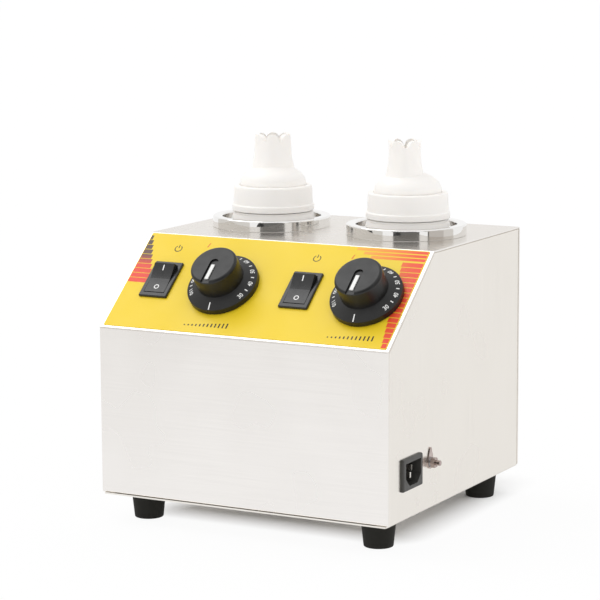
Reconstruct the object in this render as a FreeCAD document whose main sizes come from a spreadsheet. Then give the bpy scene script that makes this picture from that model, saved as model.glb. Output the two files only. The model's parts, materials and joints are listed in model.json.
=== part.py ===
import FreeCAD, Part

# A two-bottle hot topping warmer for a counter.
# X runs to the right along the front, Y to the back, Z up. All lengths are in millimetres.
# The origin lies on the counter, under the middle of the overall length and breadth, in which
# the earthing stud on the right and the screw heads on the back count.

import math
import os
import re
from types import SimpleNamespace

import Sketcher
from FreeCAD import Placement, Rotation, Vector

os.makedirs("parts", exist_ok=True)
doc = FreeCAD.newDocument("topping_warmer")

SIZES = {
    # Case
    "width": 240,
    "depth": 230,
    "case_height": 190,
    "slope_run": 74.5,
    "slope_rise": 62.5,
    "sheet_gauge": 1.2,
    "fold_radius": 2,
    "seam_gap": 0.1,
    "flange_width": 10,
    "return_width": 12,
    "front_return_width": 20,
    "return_notch": 3,
    # Feet
    "foot_height": 21.5,
    "foot_top_radius": 13.2,
    "foot_bottom_radius": 10.9,
    "foot_edge_radius": 1,
    "foot_side_inset": 22.3,
    "foot_front_inset": 30,
    "foot_back_inset": 23,
    "foot_recess_radius": 5,
    "foot_recess_depth": 9,
    # Wells, collars and heaters
    "well_middle": 1.2,
    "well_pitch_share": 0.4883,
    "well_bore_radius": 38.5,
    "well_depth": 165,
    "well_gauge": 1,
    "well_corner_radius": 4,
    "well_flange_radius": 43,
    "well_hole_clearance": 0.4,
    "collar_radius": 46,
    "collar_height": 8.5,
    "collar_edge_radius": 1.3,
    "collar_foot_radius": 0.4,
    "collar_rebate_clearance": 0.2,
    "collar_screw_circle": 41.8,
    "heater_gauge": 2,
    "heater_height": 80,
    "heater_bottom": 22,
    "heater_slit_share": 0.045,
    "wrap_clearance": 0.1,
    "insulation_gauge": 6,
    "insulation_height": 118,
    "insulation_bottom": 4,
    "cutout_radius": 8,
    "cutout_height": 6,
    # Sensors
    "bulb_radius": 3,
    "bulb_length": 70,
    "bulb_top_depth": 50,
    "capillary_radius": 1,
    "capillary_bend": 7,
    "capillary_drop": 14,
    "capillary_rise": 22,
    # Control panel
    "label_side_margin": 2.2,
    "label_bottom_margin": 2.1,
    "label_top_margin": 1.0,
    "label_gauge": 0.4,
    "label_corner_radius": 1,
    "control_pitch_share": 0.4967,
    "knob_middle_share": 0.1108,
    "knob_height_on_panel": 47.3,
    "rocker_middle_share": -0.1204,
    "rocker_height_on_panel": 49.4,
    # Knobs
    "skirt_radius": 27.5,
    "skirt_rim_height": 4.2,
    "skirt_height": 8,
    "skirt_wall": 1.8,
    "cap_radius": 18,
    "cap_wall": 2.2,
    "knob_height": 24.6,
    "knob_edge_radius": 2.2,
    "knob_hub_radius": 6,
    "knob_lift": 0.8,
    "knob_bore_depth": 18,
    "pointer_slot_width": 6.8,
    "pointer_slot_depth": 1.2,
    "pointer_slot_rise": 2,
    "pointer_width": 2.8,
    "pointer_length": 14,
    "pointer_height": 0.9,
    # Thermostats
    "shaft_radius": 3,
    "shaft_flat": 0.9,
    "shaft_end_gap": 0.5,
    "shaft_root": 9,
    "running_clearance": 0.05,
    "bush_radius": 5,
    "bush_height": 1.6,
    "thermostat_plate_length": 42,
    "thermostat_plate_width": 30,
    "thermostat_plate_gauge": 1.5,
    "thermostat_body_length": 36,
    "thermostat_body_width": 28,
    "thermostat_body_height": 20,
    "thermostat_screw_span": 28,
    "blade_width": 6.3,
    "blade_gauge": 0.8,
    "blade_length": 8,
    # Rocker switches
    "bezel_length": 34.8,
    "bezel_width": 24,
    "bezel_height": 2,
    "bezel_edge_radius": 0.8,
    "switch_body_length": 31.4,
    "switch_body_width": 21.4,
    "switch_body_depth": 17,
    "switch_cut_clearance": 0.3,
    "rocker_width": 17.2,
    "rocker_end_radius": 13.6,
    "rocker_gap": 0.35,
    "rocker_pivot_depth": 2.6,
    "rocker_shoulder_rise": 5,
    "rocker_waist_rise": 3.4,
    "rocker_skirt_drop": 3,
    "rocker_face_sag": 0.3,
    "rocker_pin_radius": 1.3,
    "rocker_pin_length": 1.2,
    "rocker_well_depth": 12,
    # Bottles, screw rings and nozzles
    "seat_gap": 0.3,
    "bottle_shift_right": 0.9,
    "bottle_shift_back": 0.9,
    "bottle_radius": 36.3,
    "bottle_wall": 1.4,
    "bottle_height": 191.3,
    "bottle_foot_radius": 5,
    "shoulder_bottom": 160,
    "shoulder_top": 174,
    "shoulder_radius": 31,
    "neck_radius": 27.2,
    "neck_bead_radius": 31.2,
    "neck_bead_height": 1.6,
    "thread_depth": 0.7,
    "thread_width": 1.6,
    "thread_pitch": 6,
    "ring_radius": 32.1,
    "ring_lip_height": 4.2,
    "ring_lip_step": 1,
    "ring_top_radius": 30.4,
    "ring_height": 19.5,
    "ring_bore_radius": 28.4,
    "ring_top_gauge": 1.8,
    "ring_edge_radius": 1.4,
    "ring_to_bead": 0.7,
    "gasket_gauge": 1.2,
    "gasket_width": 3.6,
    "nozzle_flange_gauge": 1.5,
    "nozzle_flange_radius": 27.8,
    "nozzle_wall": 1.6,
    "dome_radius": 25.8,
    "dome_height": 14.5,
    "dome_straight": 1.6,
    "dome_clearance": 0.4,
    "spout_height": 38,
    "spout_root_half_length": 17.6,
    "spout_root_half_width": 15.4,
    "spout_root_height": 8.5,
    "spout_waist_half_length": 15.4,
    "spout_waist_half_width": 13.2,
    "spout_waist_height": 17.5,
    "spout_top_half_length": 14.5,
    "spout_top_half_width": 12.6,
    "spout_wall": 3.4,
    "spout_offset": 2.4,
    "tooth_radius": 5.2,
    # Inlet and earthing point on the right wall
    "inlet_from_front": 37.4,
    "inlet_above_floor": 33.8,
    "inlet_flange_length": 32,
    "inlet_flange_height": 24,
    "inlet_flange_gauge": 2.2,
    "inlet_edge_radius": 1.4,
    "inlet_body_length": 27.4,
    "inlet_body_height": 20,
    "inlet_body_depth": 19,
    "inlet_recess_length": 24.6,
    "inlet_recess_height": 17,
    "inlet_recess_depth": 16.5,
    "inlet_recess_chamfer": 5.8,
    "pin_gauge": 2,
    "pin_width": 4,
    "pin_spacing": 7,
    "pin_offset": 2,
    "pin_setback": 2.6,
    "live_pin_step": 2.4,
    "pin_tail": 8,
    "earth_from_front": 69.2,
    "earth_above_floor": 35,
    "earth_stud_radius": 2,
    "earth_stud_length": 8.5,
    "earth_head_width": 7,
    "earth_head_height": 2.8,
    "tag_gauge": 0.8,
    "tag_radius": 4.8,
    "tag_tip_radius": 1.5,
    "tag_length": 11.2,
    "washer_radius": 3.8,
    "washer_gauge": 1,
    "nut_width": 7,
    "nut_height": 3.2,
    # Screws
    "screw_radius": 2,
    "screw_clearance": 0.3,
    "screw_head_radius": 3.6,
    "screw_head_height": 2.4,
    "screw_length": 8,
    "small_screw_radius": 1.25,
    "small_screw_head_radius": 2.1,
    "small_screw_head_height": 1.5,
    "small_screw_length": 6,
    "slot_width": 0.9,
    "slot_depth": 1,
    "back_screw_low": 40,
    "back_screw_high": 150,
    "bottom_screw_inset": 35,
    # Terminal block
    "block_length": 46,
    "block_width": 20,
    "block_height": 12,
    "tower_height": 6,
    "tower_width": 6.6,
    "tower_pitch": 8.4,
    "block_right_of_middle": 30,
    "block_front_of_middle": 72,
    "block_screw_reach": 7,
    # Leads
    "lead_radius": 1,
    "lead_bend": 4,
    "lead_reach": 8,
    "lead_layer": 4.8,
    "lead_high": 60,
    "lead_row": 6,
    "lead_pair": 1.6,
    "heater_lead_arc": 10.5,
    # Floor vents
    "vent_length": 34,
    "vent_width": 4,
    "vent_pitch": 10,
    "vent_from_middle": 30,
    # Overrun of every cut
    "overrun": 2,
}

sheet = doc.addObject("Spreadsheet::Sheet", "Sizes")
for row, (name, number) in enumerate(SIZES.items(), start=1):
    sheet.set(f"A{row}", name)
    sheet.set(f"B{row}", str(number))
    sheet.setAlias(f"B{row}", name)
doc.recompute()
size = SimpleNamespace(**{name: float(sheet.get(name)) for name in SIZES})

# Counts, and turns in degrees

VENT_COUNT = 5
TOOTH_COUNT = 6
POLE_COUNT = 4
COLLAR_SCREW_COUNT = 3
HEX_SIDES = 6
THREAD_TURNS = 1.5
ROCKER_TILT = 10
NOZZLE_TURNS = {"left": 29, "right": 119}

finished = []


# Helpers


def linked(text):
    """The sheet expression for a text in which sizes stand by their plain names."""
    return re.sub(r"[a-z][a-z_]*", lambda word: "Sizes." + word[0] if word[0] in SIZES else word[0], text)


def bind(item, **texts):
    for prop, text in texts.items():
        item.setExpression(prop, linked(text))
    return item


def finish(item, label, place=None):
    """Names a finished sub-part, and moves it from its place in the case to the part's own origin."""
    item.Label = label
    whole_middle = Vector(size.earth_stud_length / 2, size.screw_head_height / 2, 0)
    from_case = Placement(-whole_middle, Rotation())
    item.Placement = from_case.multiply(place or Placement()).multiply(item.Placement)
    finished.append(item)
    return item


def new_body(name):
    return doc.addObject("PartDesign::Body", name)


def draw(body, name, role, loops, offset="0"):
    """A sketch on one of the body's own origin planes.

    A loop is a list of corners, or one circle as (x, y, radius). All are texts for the sheet.
    """
    sketch = body.newObject("Sketcher::SketchObject", name)
    plane = next(item for item in body.Origin.OriginFeatures if item.Role == role)
    sketch.AttachmentSupport = [(plane, "")]
    sketch.MapMode = "FlatFace"
    sketch.setExpression("AttachmentOffset.Base.z", linked(offset))
    for loop in loops:
        if isinstance(loop, tuple):
            add_circle(sketch, *loop)
        else:
            add_polygon(sketch, loop)
    return sketch


def fix_point(sketch, edge, point, across, up):
    """Holds one point of the sketch at a place given by two texts."""
    for kind, axis, text in (("DistanceX", -2, across), ("DistanceY", -1, up)):
        if text == "0":
            sketch.addConstraint(Sketcher.Constraint("PointOnObject", edge, point, axis))
        else:
            index = sketch.addConstraint(Sketcher.Constraint(kind, -1, 1, edge, point, 1.0))
            sketch.setExpression(f"Constraints[{index}]", linked(text))


def add_circle(sketch, across, up, radius):
    edge = sketch.addGeometry(Part.Circle(Vector(0, 0, 0), Vector(0, 0, 1), 1), False)
    fix_point(sketch, edge, 3, across, up)
    index = sketch.addConstraint(Sketcher.Constraint("Radius", edge, 1.0))
    sketch.setExpression(f"Constraints[{index}]", linked(radius))


def add_polygon(sketch, corners):
    first = sketch.GeometryCount
    count = len(corners)
    turns = [2 * math.pi * corner / count for corner in range(count)]
    spots = [Vector(math.cos(turn), math.sin(turn), 0) for turn in turns]
    for corner in range(count):
        sketch.addGeometry(Part.LineSegment(spots[corner], spots[(corner + 1) % count]), False)
    for corner in range(count):
        following = first + (corner + 1) % count
        sketch.addConstraint(Sketcher.Constraint("Coincident", first + corner, 2, following, 1))
    for corner, (across, up) in enumerate(corners):
        fix_point(sketch, first + corner, 1, across, up)


def pad(body, sketch, length, backwards=False):
    feature = body.newObject("PartDesign::Pad", sketch.Name + "_pad")
    feature.Profile = sketch
    feature.Reversed = backwards
    return bind(feature, Length=length)


def pocket(body, sketch, length, backwards=False):
    """A pocket that is checked to take material away."""
    doc.recompute()
    before = body.Shape.Volume
    feature = body.newObject("PartDesign::Pocket", sketch.Name + "_pocket")
    feature.Profile = sketch
    feature.Reversed = backwards
    bind(feature, Length=length)
    doc.recompute()
    if body.Shape.Volume >= before:
        raise ValueError(f"{feature.Name} cuts nothing")
    return feature


def turned(name, outline, turn_share=1):
    """A body turned from a half section: corners as (radius, height) texts."""
    body = new_body(name)
    sketch = draw(body, name + "_section", "XZ_Plane", [outline])
    feature = body.newObject("PartDesign::Revolution", name + "_turn")
    feature.Profile = sketch
    feature.ReferenceAxis = (sketch, ["V_Axis"])
    feature.Angle = 360 * turn_share
    doc.recompute()
    return body


def rounded(body, radius, wanted):
    """Rounds the edges that the test picks."""
    doc.recompute()
    base = body.Tip
    names = [f"Edge{index}" for index, edge in enumerate(base.Shape.Edges, start=1) if wanted(edge)]
    if not names:
        raise ValueError(f"no edge to round on {body.Name}")
    fillet = body.newObject("PartDesign::Fillet", base.Name + "_round")
    fillet.Base = (base, names)
    bind(fillet, Radius=radius)
    doc.recompute()
    return body


def near(first, second):
    """Whether two lengths are the same, to a small share of the sheet's gauge."""
    return abs(first - second) < size.sheet_gauge / 100


def circle_at(height, radius):
    """A test for the round edge of a turned body at a height and a radius."""
    def test(edge):
        curve = edge.Curve
        return (isinstance(curve, Part.Circle) and near(curve.Radius, radius)
                and near(curve.Center.z, height) and near(math.hypot(curve.Center.x, curve.Center.y), 0))
    return test


def block(name, length, breadth, height, corner):
    """A box with bound sizes and its low corner at a place."""
    item = bind(doc.addObject("Part::Box", name), Length=length, Width=breadth, Height=height)
    item.Placement.Base = Vector(*corner)
    return item


def rod(name, radius, height, base, direction=Vector(0, 0, 1)):
    item = bind(doc.addObject("Part::Cylinder", name), Radius=radius, Height=height)
    item.Placement = Placement(Vector(*base), Rotation(Vector(0, 0, 1), direction))
    return item


def fuse(name, items):
    item = doc.addObject("Part::MultiFuse", name)
    item.Shapes = items
    return item


def gather(name, items):
    item = doc.addObject("Part::Compound", name)
    item.Links = items
    return item


def cut(name, base, tools):
    """The base less all the tools, checked to have lost material."""
    item = doc.addObject("Part::Cut", name)
    item.Base = base
    item.Tool = tools[0] if len(tools) == 1 else gather(name + "_tools", tools)
    doc.recompute()
    if item.Shape.Volume >= base.Shape.Volume:
        raise ValueError(f"{name} cuts nothing")
    return item


def repeated(label, source, places):
    """One group of separate solids: the source's shape at each place."""
    doc.recompute()
    copies = []
    for place in places:
        copy = source.Shape.copy()
        copy.Placement = place.multiply(copy.Placement)
        copies.append(copy)
    item = doc.addObject("Part::Feature", label)
    item.Shape = Part.makeCompound(copies)
    return finish(item, label)


def tube(points, radius, bend):
    """A round solid along straight runs that are joined by tangent arcs."""
    edges = []
    start = points[0]
    for before, corner, after in zip(points, points[1:], points[2:]):
        inward = (before - corner).normalize()
        outward = (after - corner).normalize()
        half = inward.getAngle(outward) / 2
        reach = bend / math.tan(half)
        arc_start = corner + inward * reach
        arc_end = corner + outward * reach
        middle = (inward + outward).normalize()
        arc_middle = corner + middle * (bend / math.sin(half) - bend)
        edges.append(Part.makeLine(start, arc_start))
        edges.append(Part.Arc(arc_start, arc_middle, arc_end).toShape())
        start = arc_end
    edges.append(Part.makeLine(start, points[-1]))
    path = Part.Wire(edges)
    ring = Part.Wire(Part.makeCircle(radius, points[0], points[1] - points[0]))
    solid = path.makePipeShell([ring], True, False)
    expected = math.pi * radius ** 2 * path.Length
    print(f"tube volume is {solid.Volume / expected:.4f} of its section times its length")
    return solid


# Places

SLOPE = "sqrt(slope_run^2+slope_rise^2)"
FLOOR_TOP = "(foot_height+sheet_gauge)"
CASE_TOP = "(foot_height+case_height)"

slope_length = math.hypot(size.slope_run, size.slope_rise)
slope_angle = math.degrees(math.atan2(size.slope_rise, size.slope_run))
case_top = size.foot_height + size.case_height
floor_top = size.foot_height + size.sheet_gauge
front = -size.depth / 2
back = size.depth / 2
right = size.width / 2
well_y = (front + size.slope_run + back) / 2
SIDES = (("left", -1), ("right", 1))


def well_x(sign):
    return size.well_middle + sign * size.well_pitch_share * size.width / 2


def above(x, y, z):
    return Placement(Vector(x, y, z), Rotation())


def on_panel(x, up, lift=0.0):
    """A place on the slanted panel: Z along its outward normal, Y up the slope."""
    slope = Rotation(Vector(1, 0, 0), slope_angle)
    foot = Vector(x, front, case_top - size.slope_rise)
    return Placement(foot + slope.multVec(Vector(0, up, lift)), slope)


def on_right_wall(from_front, above_floor, lift=0.0):
    """A place on the right wall: X to the back, Y up, Z outwards."""
    turn = Rotation(Vector(0, 1, 0), Vector(0, 0, 1), Vector(1, 0, 0), "ZXY")
    return Placement(Vector(right + lift, front + from_front, size.foot_height + above_floor), turn)


def control_x(middle_share, sign):
    """Where a control of the left or right group sits, across the panel."""
    return size.width * (middle_share + sign * size.control_pitch_share / 2)


def knob_place(sign, lift=0.0):
    return on_panel(control_x(size.knob_middle_share, sign), size.knob_height_on_panel, lift)


def rocker_place(sign, lift=0.0):
    return on_panel(control_x(size.rocker_middle_share, sign), size.rocker_height_on_panel, lift)


def thermostat_screw_places(sign, lift=0.0):
    """Above and below the shaft."""
    reach = size.thermostat_screw_span / 2
    return [knob_place(sign, lift).multiply(above(0, end * reach, 0)) for end in (-1, 1)]


def foot_places():
    x = right - size.foot_side_inset
    front_y = front + size.foot_front_inset
    back_y = back - size.foot_back_inset
    return {
        "front_left": (-x, front_y),
        "front_right": (x, front_y),
        "back_left": (-x, back_y),
        "back_right": (x, back_y),
    }


# Folded sheets of the case


def case_outline(inset, low):
    """The case's five corners from the side, moved inwards by a text, from front low to back low."""
    knee = f"({CASE_TOP}-slope_rise-({inset})*({SLOPE}-slope_rise)/slope_run)"
    brow = f"(-depth/2+slope_run+({inset})*({SLOPE}-slope_run)/slope_rise)"
    return [
        (f"-depth/2+{inset}", low),
        (f"-depth/2+{inset}", knee),
        (brow, f"{CASE_TOP}-({inset})"),
        (f"depth/2-({inset})", f"{CASE_TOP}-({inset})"),
        (f"depth/2-({inset})", low),
    ]


def along_x_at(edge, places):
    """Whether an edge runs along X through one of the (y, z) places."""
    start, end = edge.Vertexes[0].Point, edge.Vertexes[-1].Point
    level = near(start.y, end.y) and near(start.z, end.z) and not near(start.x, end.x)
    return level and any(near(start.y, y) and near(start.z, z) for y, z in places)


def bend_places(inset):
    knee = case_top - size.slope_rise - inset * (slope_length - size.slope_rise) / size.slope_run
    brow = front + size.slope_run + inset * (slope_length - size.slope_run) / size.slope_rise
    return [(front + inset, floor_top + inset), (front + inset, knee), (brow, case_top - inset),
            (back - inset, case_top - inset), (back - inset, floor_top + inset)]


def panel_tools(name, hole_radius, body_length, body_width, depth_text, sink):
    """Cutters for the shafts and the switches, square to the slanted panel."""
    tools = []
    for side, sign in SIDES:
        shaft_hole = rod(f"{name}_shaft_{side}", hole_radius, depth_text, (0, 0, 0))
        shaft_hole.Placement = knob_place(sign, -sink)
        tools.append(shaft_hole)
        window = block(f"{name}_switch_{side}", body_width, body_length, depth_text, (0, 0, 0))
        doc.recompute()
        corner = above(-window.Length.Value / 2, -window.Width.Value / 2, 0)
        window.Placement = rocker_place(sign, -sink).multiply(corner)
        tools.append(window)
        tools += screw_holes(f"{name}_screw_{side}", thermostat_screw_places(sign, -sink), depth_text)
    return tools


def back_screw_places(lift):
    x = right - size.flange_width / 2 - size.sheet_gauge / 2
    outwards = Rotation(Vector(0, 0, 1), Vector(0, 1, 0))
    heights = (size.back_screw_low, size.back_screw_high)
    return [Placement(Vector(sign * x, back + lift, size.foot_height + up), outwards)
            for sign in (-1, 1) for up in heights]


def bottom_screw_places(lift):
    """Near the free edges of the two returns, so that the front row is out of sight."""
    downwards = Rotation(Vector(1, 0, 0), 180)
    half_width = size.return_width / 2
    side_x = right - size.bottom_screw_inset
    return [Placement(Vector(x, y, size.foot_height - lift), downwards)
            for y in (front + size.front_return_width - half_width, back - half_width)
            for x in (-side_x, 0, side_x)]


def screw_holes(name, places, depth_text):
    holes = []
    for index, place in enumerate(places):
        hole = rod(f"{name}_{index}", "screw_radius+screw_clearance", depth_text, (0, 0, 0))
        hole.Placement = place
        holes.append(hole)
    return holes


def make_cover():
    body = new_body("cover_sheet")
    low = FLOOR_TOP
    outside = case_outline("0", low)
    inside = case_outline("sheet_gauge", f"{low}+sheet_gauge")
    front_return = [("-depth/2+front_return_width", f"{low}+sheet_gauge"),
                    ("-depth/2+front_return_width", low)]
    back_return = [("depth/2-return_width", low), ("depth/2-return_width", f"{low}+sheet_gauge")]
    section = outside + back_return + inside[::-1] + front_return
    sketch = draw(body, "cover_section", "YZ_Plane", [section], offset="-width/2")
    pad(body, sketch, "width")
    outer = bend_places(0)
    rounded(body, "fold_radius", lambda edge: along_x_at(edge, outer))
    inner = bend_places(size.sheet_gauge)
    rounded(body, "fold_radius-sheet_gauge", lambda edge: along_x_at(edge, inner))

    tools = []
    sink = size.sheet_gauge + size.overrun
    notch = "flange_width+return_notch"
    back_y = back - size.sheet_gauge - size.return_width - size.overrun
    for end, x in (("left", -right), ("right", right - size.flange_width - size.return_notch)):
        for edge, y, reach in (("front", front + size.sheet_gauge, "front_return_width+overrun"),
                               ("back", back_y, "return_width+overrun")):
            tools.append(block(f"cover_notch_{edge}_{end}", notch, reach,
                               "sheet_gauge+overrun", (x, y, floor_top - size.overrun / 2)))
    for side, sign in SIDES:
        tools.append(rod(f"cover_well_hole_{side}", "well_bore_radius+well_gauge+well_hole_clearance",
                         "sheet_gauge+2*overrun", (well_x(sign), well_y, case_top - sink)))
        for place in collar_screw_places(sign, -sink):
            tools.append(rod(f"cover_collar_hole_{side}", "small_screw_radius+screw_clearance",
                             "sheet_gauge+2*overrun", place.Base))
    tools += panel_tools("cover", "bush_radius+screw_clearance", "switch_body_length+2*switch_cut_clearance",
                         "switch_body_width+2*switch_cut_clearance", "sheet_gauge+2*overrun", sink)
    tools += screw_holes("cover_back_hole", back_screw_places(-sink), "sheet_gauge+2*overrun")
    tools += screw_holes("cover_bottom_hole", bottom_screw_places(-3 * size.sheet_gauge), "2*sheet_gauge")
    return finish(cut("cover_cut", body, tools), "cover")


def collar_screw_ring():
    """The collar's screws round the axis of its well, as (x, y)."""
    turns = [2 * math.pi * (index + 0.5) / COLLAR_SCREW_COUNT for index in range(COLLAR_SCREW_COUNT)]
    circle = size.collar_screw_circle
    return [(circle * math.sin(turn), circle * math.cos(turn)) for turn in turns]


def collar_screw_places(sign, lift):
    return [above(well_x(sign) + x, well_y + y, case_top + lift) for x, y in collar_screw_ring()]


def make_base_tray():
    """Floor and both side walls, with narrow flanges along the side walls' front, top and back edges."""
    inset = "(sheet_gauge+seam_gap)"
    hollow_outline = case_outline("(2*sheet_gauge+seam_gap)", FLOOR_TOP)
    walls = []
    for side, sign, start, hollow_start in (
            ("left", -1, "-width/2", "-width/2+sheet_gauge"),
            ("right", 1, "width/2-flange_width", "width/2-flange_width-overrun")):
        body = new_body(f"tray_{side}")
        wall = draw(body, f"tray_{side}_wall", "YZ_Plane", [case_outline(inset, "foot_height")], offset=start)
        pad(body, wall, "flange_width")
        hollow = draw(body, f"tray_{side}_hollow", "YZ_Plane", [hollow_outline], offset=hollow_start)
        pocket(body, hollow, "flange_width-sheet_gauge+overrun", backwards=True)
        outer_x = sign * right
        rounded(body, "fold_radius",
                lambda edge, x=outer_x: near(edge.BoundBox.XMin, x) and near(edge.BoundBox.XMax, x))
        walls.append(body)
    floor = block("tray_floor", "width-2*fold_radius", "depth", "sheet_gauge",
                  (-right + size.fold_radius, front, size.foot_height))
    folded = fuse("tray_fused", walls + [floor])
    folded.Refine = True

    through = "sheet_gauge+2*overrun"
    tools = []
    for name, (x, y) in foot_places().items():
        tools.append(rod(f"tray_foot_hole_{name}", "screw_radius+screw_clearance", through,
                         (x, y, size.foot_height - size.overrun)))
    for row, y in (("front", -size.vent_from_middle), ("back", size.vent_from_middle)):
        for index in range(VENT_COUNT):
            x = (index - (VENT_COUNT - 1) / 2) * size.vent_pitch
            slot_y = y - size.vent_length / 2
            tools.append(block(f"tray_vent_{row}_{index}", "vent_width", "vent_length", through,
                               (x - size.vent_width / 2, slot_y, size.foot_height - size.overrun)))
    for end in (-1, 1):
        place = block_screw_place(end)
        tools.append(rod(f"tray_block_hole_{end + 1}", "screw_radius+screw_clearance", through,
                         (place.Base.x, place.Base.y, size.foot_height - size.overrun)))
    window = block("tray_inlet_window", "inlet_body_length+2*seam_gap", "inlet_body_height+2*seam_gap",
                   through, (0, 0, 0))
    doc.recompute()
    sunk = -size.sheet_gauge - size.overrun
    window_middle = on_right_wall(size.inlet_from_front, size.inlet_above_floor, sunk)
    window.Placement = window_middle.multiply(above(-window.Length.Value / 2, -window.Width.Value / 2, 0))
    stud_hole = rod("tray_stud_hole", "earth_stud_radius+screw_clearance", through, (0, 0, 0))
    stud_hole.Placement = on_right_wall(size.earth_from_front, size.earth_above_floor, sunk)
    tools += [window, stud_hole]
    tools += screw_holes("tray_back_hole", back_screw_places(-3 * size.sheet_gauge), "3*sheet_gauge")
    tools += screw_holes("tray_bottom_hole", bottom_screw_places(-2 * size.sheet_gauge), "3*sheet_gauge")
    return finish(cut("tray_cut", folded, tools), "base_tray")


def make_feet():
    for name, (x, y) in foot_places().items():
        outline = [
            ("screw_radius+screw_clearance", "0"),
            ("foot_top_radius", "0"),
            ("foot_bottom_radius", "-foot_height"),
            ("foot_recess_radius", "-foot_height"),
            ("foot_recess_radius", "-foot_height+foot_recess_depth"),
            ("screw_radius+screw_clearance", "-foot_height+foot_recess_depth"),
        ]
        body = turned(f"foot_{name}_body", outline)
        rounded(body, "foot_edge_radius", circle_at(-size.foot_height, size.foot_bottom_radius))
        finish(body, f"foot_{name}", above(x, y, size.foot_height))


# Wells with their collars, heaters and sensors


def make_collar(side, sign):
    rebate_radius = "well_flange_radius+collar_rebate_clearance"
    rebate_height = "well_gauge"
    outline = [
        ("well_bore_radius", rebate_height),
        (rebate_radius, rebate_height),
        (rebate_radius, "0"),
        ("collar_radius", "0"),
        ("collar_radius", "collar_height"),
        ("well_bore_radius", "collar_height"),
    ]
    body = turned(f"collar_{side}_ring", outline)
    rounded(body, "collar_edge_radius", circle_at(size.collar_height, size.collar_radius))
    rounded(body, "collar_edge_radius", circle_at(size.collar_height, size.well_bore_radius))
    rounded(body, "collar_foot_radius", circle_at(0, size.collar_radius))
    holes = []
    for x, y in collar_screw_ring():
        holes.append(rod(f"collar_{side}_hole", "small_screw_radius+running_clearance", "small_screw_length",
                         (x, y, 0)))
    finish(cut(f"collar_{side}_cut", body, holes), f"collar_{side}", above(well_x(sign), well_y, case_top))


def make_well(side, sign):
    outer = "well_bore_radius+well_gauge"
    outline = [
        ("0", "-well_depth"),
        (outer, "-well_depth"),
        (outer, "0"),
        ("well_flange_radius", "0"),
        ("well_flange_radius", "well_gauge"),
        ("well_bore_radius", "well_gauge"),
        ("well_bore_radius", "-well_depth+well_gauge"),
        ("0", "-well_depth+well_gauge"),
    ]
    body = turned(f"well_{side}_cup", outline)
    rounded(body, "well_corner_radius", circle_at(-size.well_depth, size.well_bore_radius + size.well_gauge))
    rounded(body, "well_corner_radius-well_gauge",
            circle_at(-size.well_depth + size.well_gauge, size.well_bore_radius))
    holes = []
    for x, y in collar_screw_ring():
        holes.append(rod(f"well_{side}_hole", "small_screw_radius+screw_clearance", "well_gauge+2*overrun",
                         (x, y, -size.overrun)))
    place = above(well_x(sign), well_y, case_top)
    finish(cut(f"well_{side}_cut", body, holes), f"heating_well_{side}", place)


def split_sleeve(name, inner, outer, low, high):
    """A sleeve round the well that stays open in front, where the sensor lies."""
    outline = [(inner, low), (outer, low), (outer, high), (inner, high)]
    body = turned(name, outline, 1 - size.heater_slit_share)
    start = -90 + 180 * size.heater_slit_share
    body.Placement = Placement(Vector(0, 0, 0), Rotation(Vector(0, 0, 1), start))
    return body


def make_heater(side, sign):
    inner = "well_bore_radius+well_gauge+wrap_clearance"
    low = "-well_depth+heater_bottom"
    body = split_sleeve(f"heater_{side}", inner, f"{inner}+heater_gauge", low, f"{low}+heater_height")
    finish(body, f"band_heater_{side}", above(well_x(sign), well_y, case_top))


def make_insulation(side, sign):
    inner = "well_bore_radius+well_gauge+heater_gauge+2*wrap_clearance"
    low = "-well_depth+insulation_bottom"
    outer = f"{inner}+insulation_gauge"
    body = split_sleeve(f"wool_{side}", inner, outer, low, f"{low}+insulation_height")
    finish(body, f"insulation_{side}", above(well_x(sign), well_y, case_top))


def blade(name, place):
    """A flat terminal blade that stands on a place, along its Z."""
    item = block(name, "blade_width", "blade_gauge", "blade_length", (0, 0, 0))
    item.Placement = place.multiply(above(-size.blade_width / 2, -size.blade_gauge / 2, 0))
    return item


def make_cutout(side, sign):
    """Over-temperature disc, flat against the well's bottom, with two blades."""
    disc = rod(f"cutout_{side}_disc", "cutout_radius", "cutout_height", (0, 0, -size.cutout_height))
    blades = []
    for end in (-1, 1):
        at_side = Placement(Vector(end * size.cutout_radius / 2, 0, -size.cutout_height),
                            Rotation(Vector(1, 0, 0), 180))
        blades.append(blade(f"cutout_{side}_blade_{end + 1}", at_side))
    finish(fuse(f"cutout_{side}_fused", [disc] + blades), f"thermal_cutout_{side}",
           above(well_x(sign), well_y, case_top - size.well_depth))


def make_sensor(side, sign):
    """Bulb in the slit in front of the heater, and its fine tube up to the thermostat."""
    x = well_x(sign)
    y = well_y - size.well_bore_radius - size.well_gauge - size.bulb_radius - size.wrap_clearance
    top = case_top - size.bulb_top_depth
    bulb = Part.makeCylinder(size.bulb_radius, size.bulb_length, Vector(x, y, top - size.bulb_length))
    rims = [edge for edge in bulb.Edges if isinstance(edge.Curve, Part.Circle)]
    bulb = bulb.makeFillet(size.bulb_radius / 2, rims)
    start = thermostat_bottom(sign)
    inwards = start.Rotation.multVec(Vector(0, 0, -1))
    leave = start.Base + inwards * size.capillary_drop
    over = Vector(x, y, top + size.capillary_rise)
    halfway = Vector((leave.x + x) / 2, (leave.y + y) / 2, over.z)
    points = [start.Base, leave, halfway, over, Vector(x, y, top)]
    line = tube(points, size.capillary_radius, size.capillary_bend)
    item = doc.addObject("Part::Feature", f"sensor_{side}")
    item.Shape = bulb.fuse(line)
    finish(item, f"sensor_{side}")


def make_collar_screws():
    screw = turned_screw("collar_screw", "small_screw_radius", "small_screw_head_radius",
                         "small_screw_head_height", "small_screw_length")
    upwards = Rotation(Vector(1, 0, 0), 180)
    places = []
    for side, sign in SIDES:
        for place in collar_screw_places(sign, -size.sheet_gauge):
            places.append(Placement(place.Base, upwards))
    repeated("collar_screws", screw, places)


# Control panel


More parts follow.
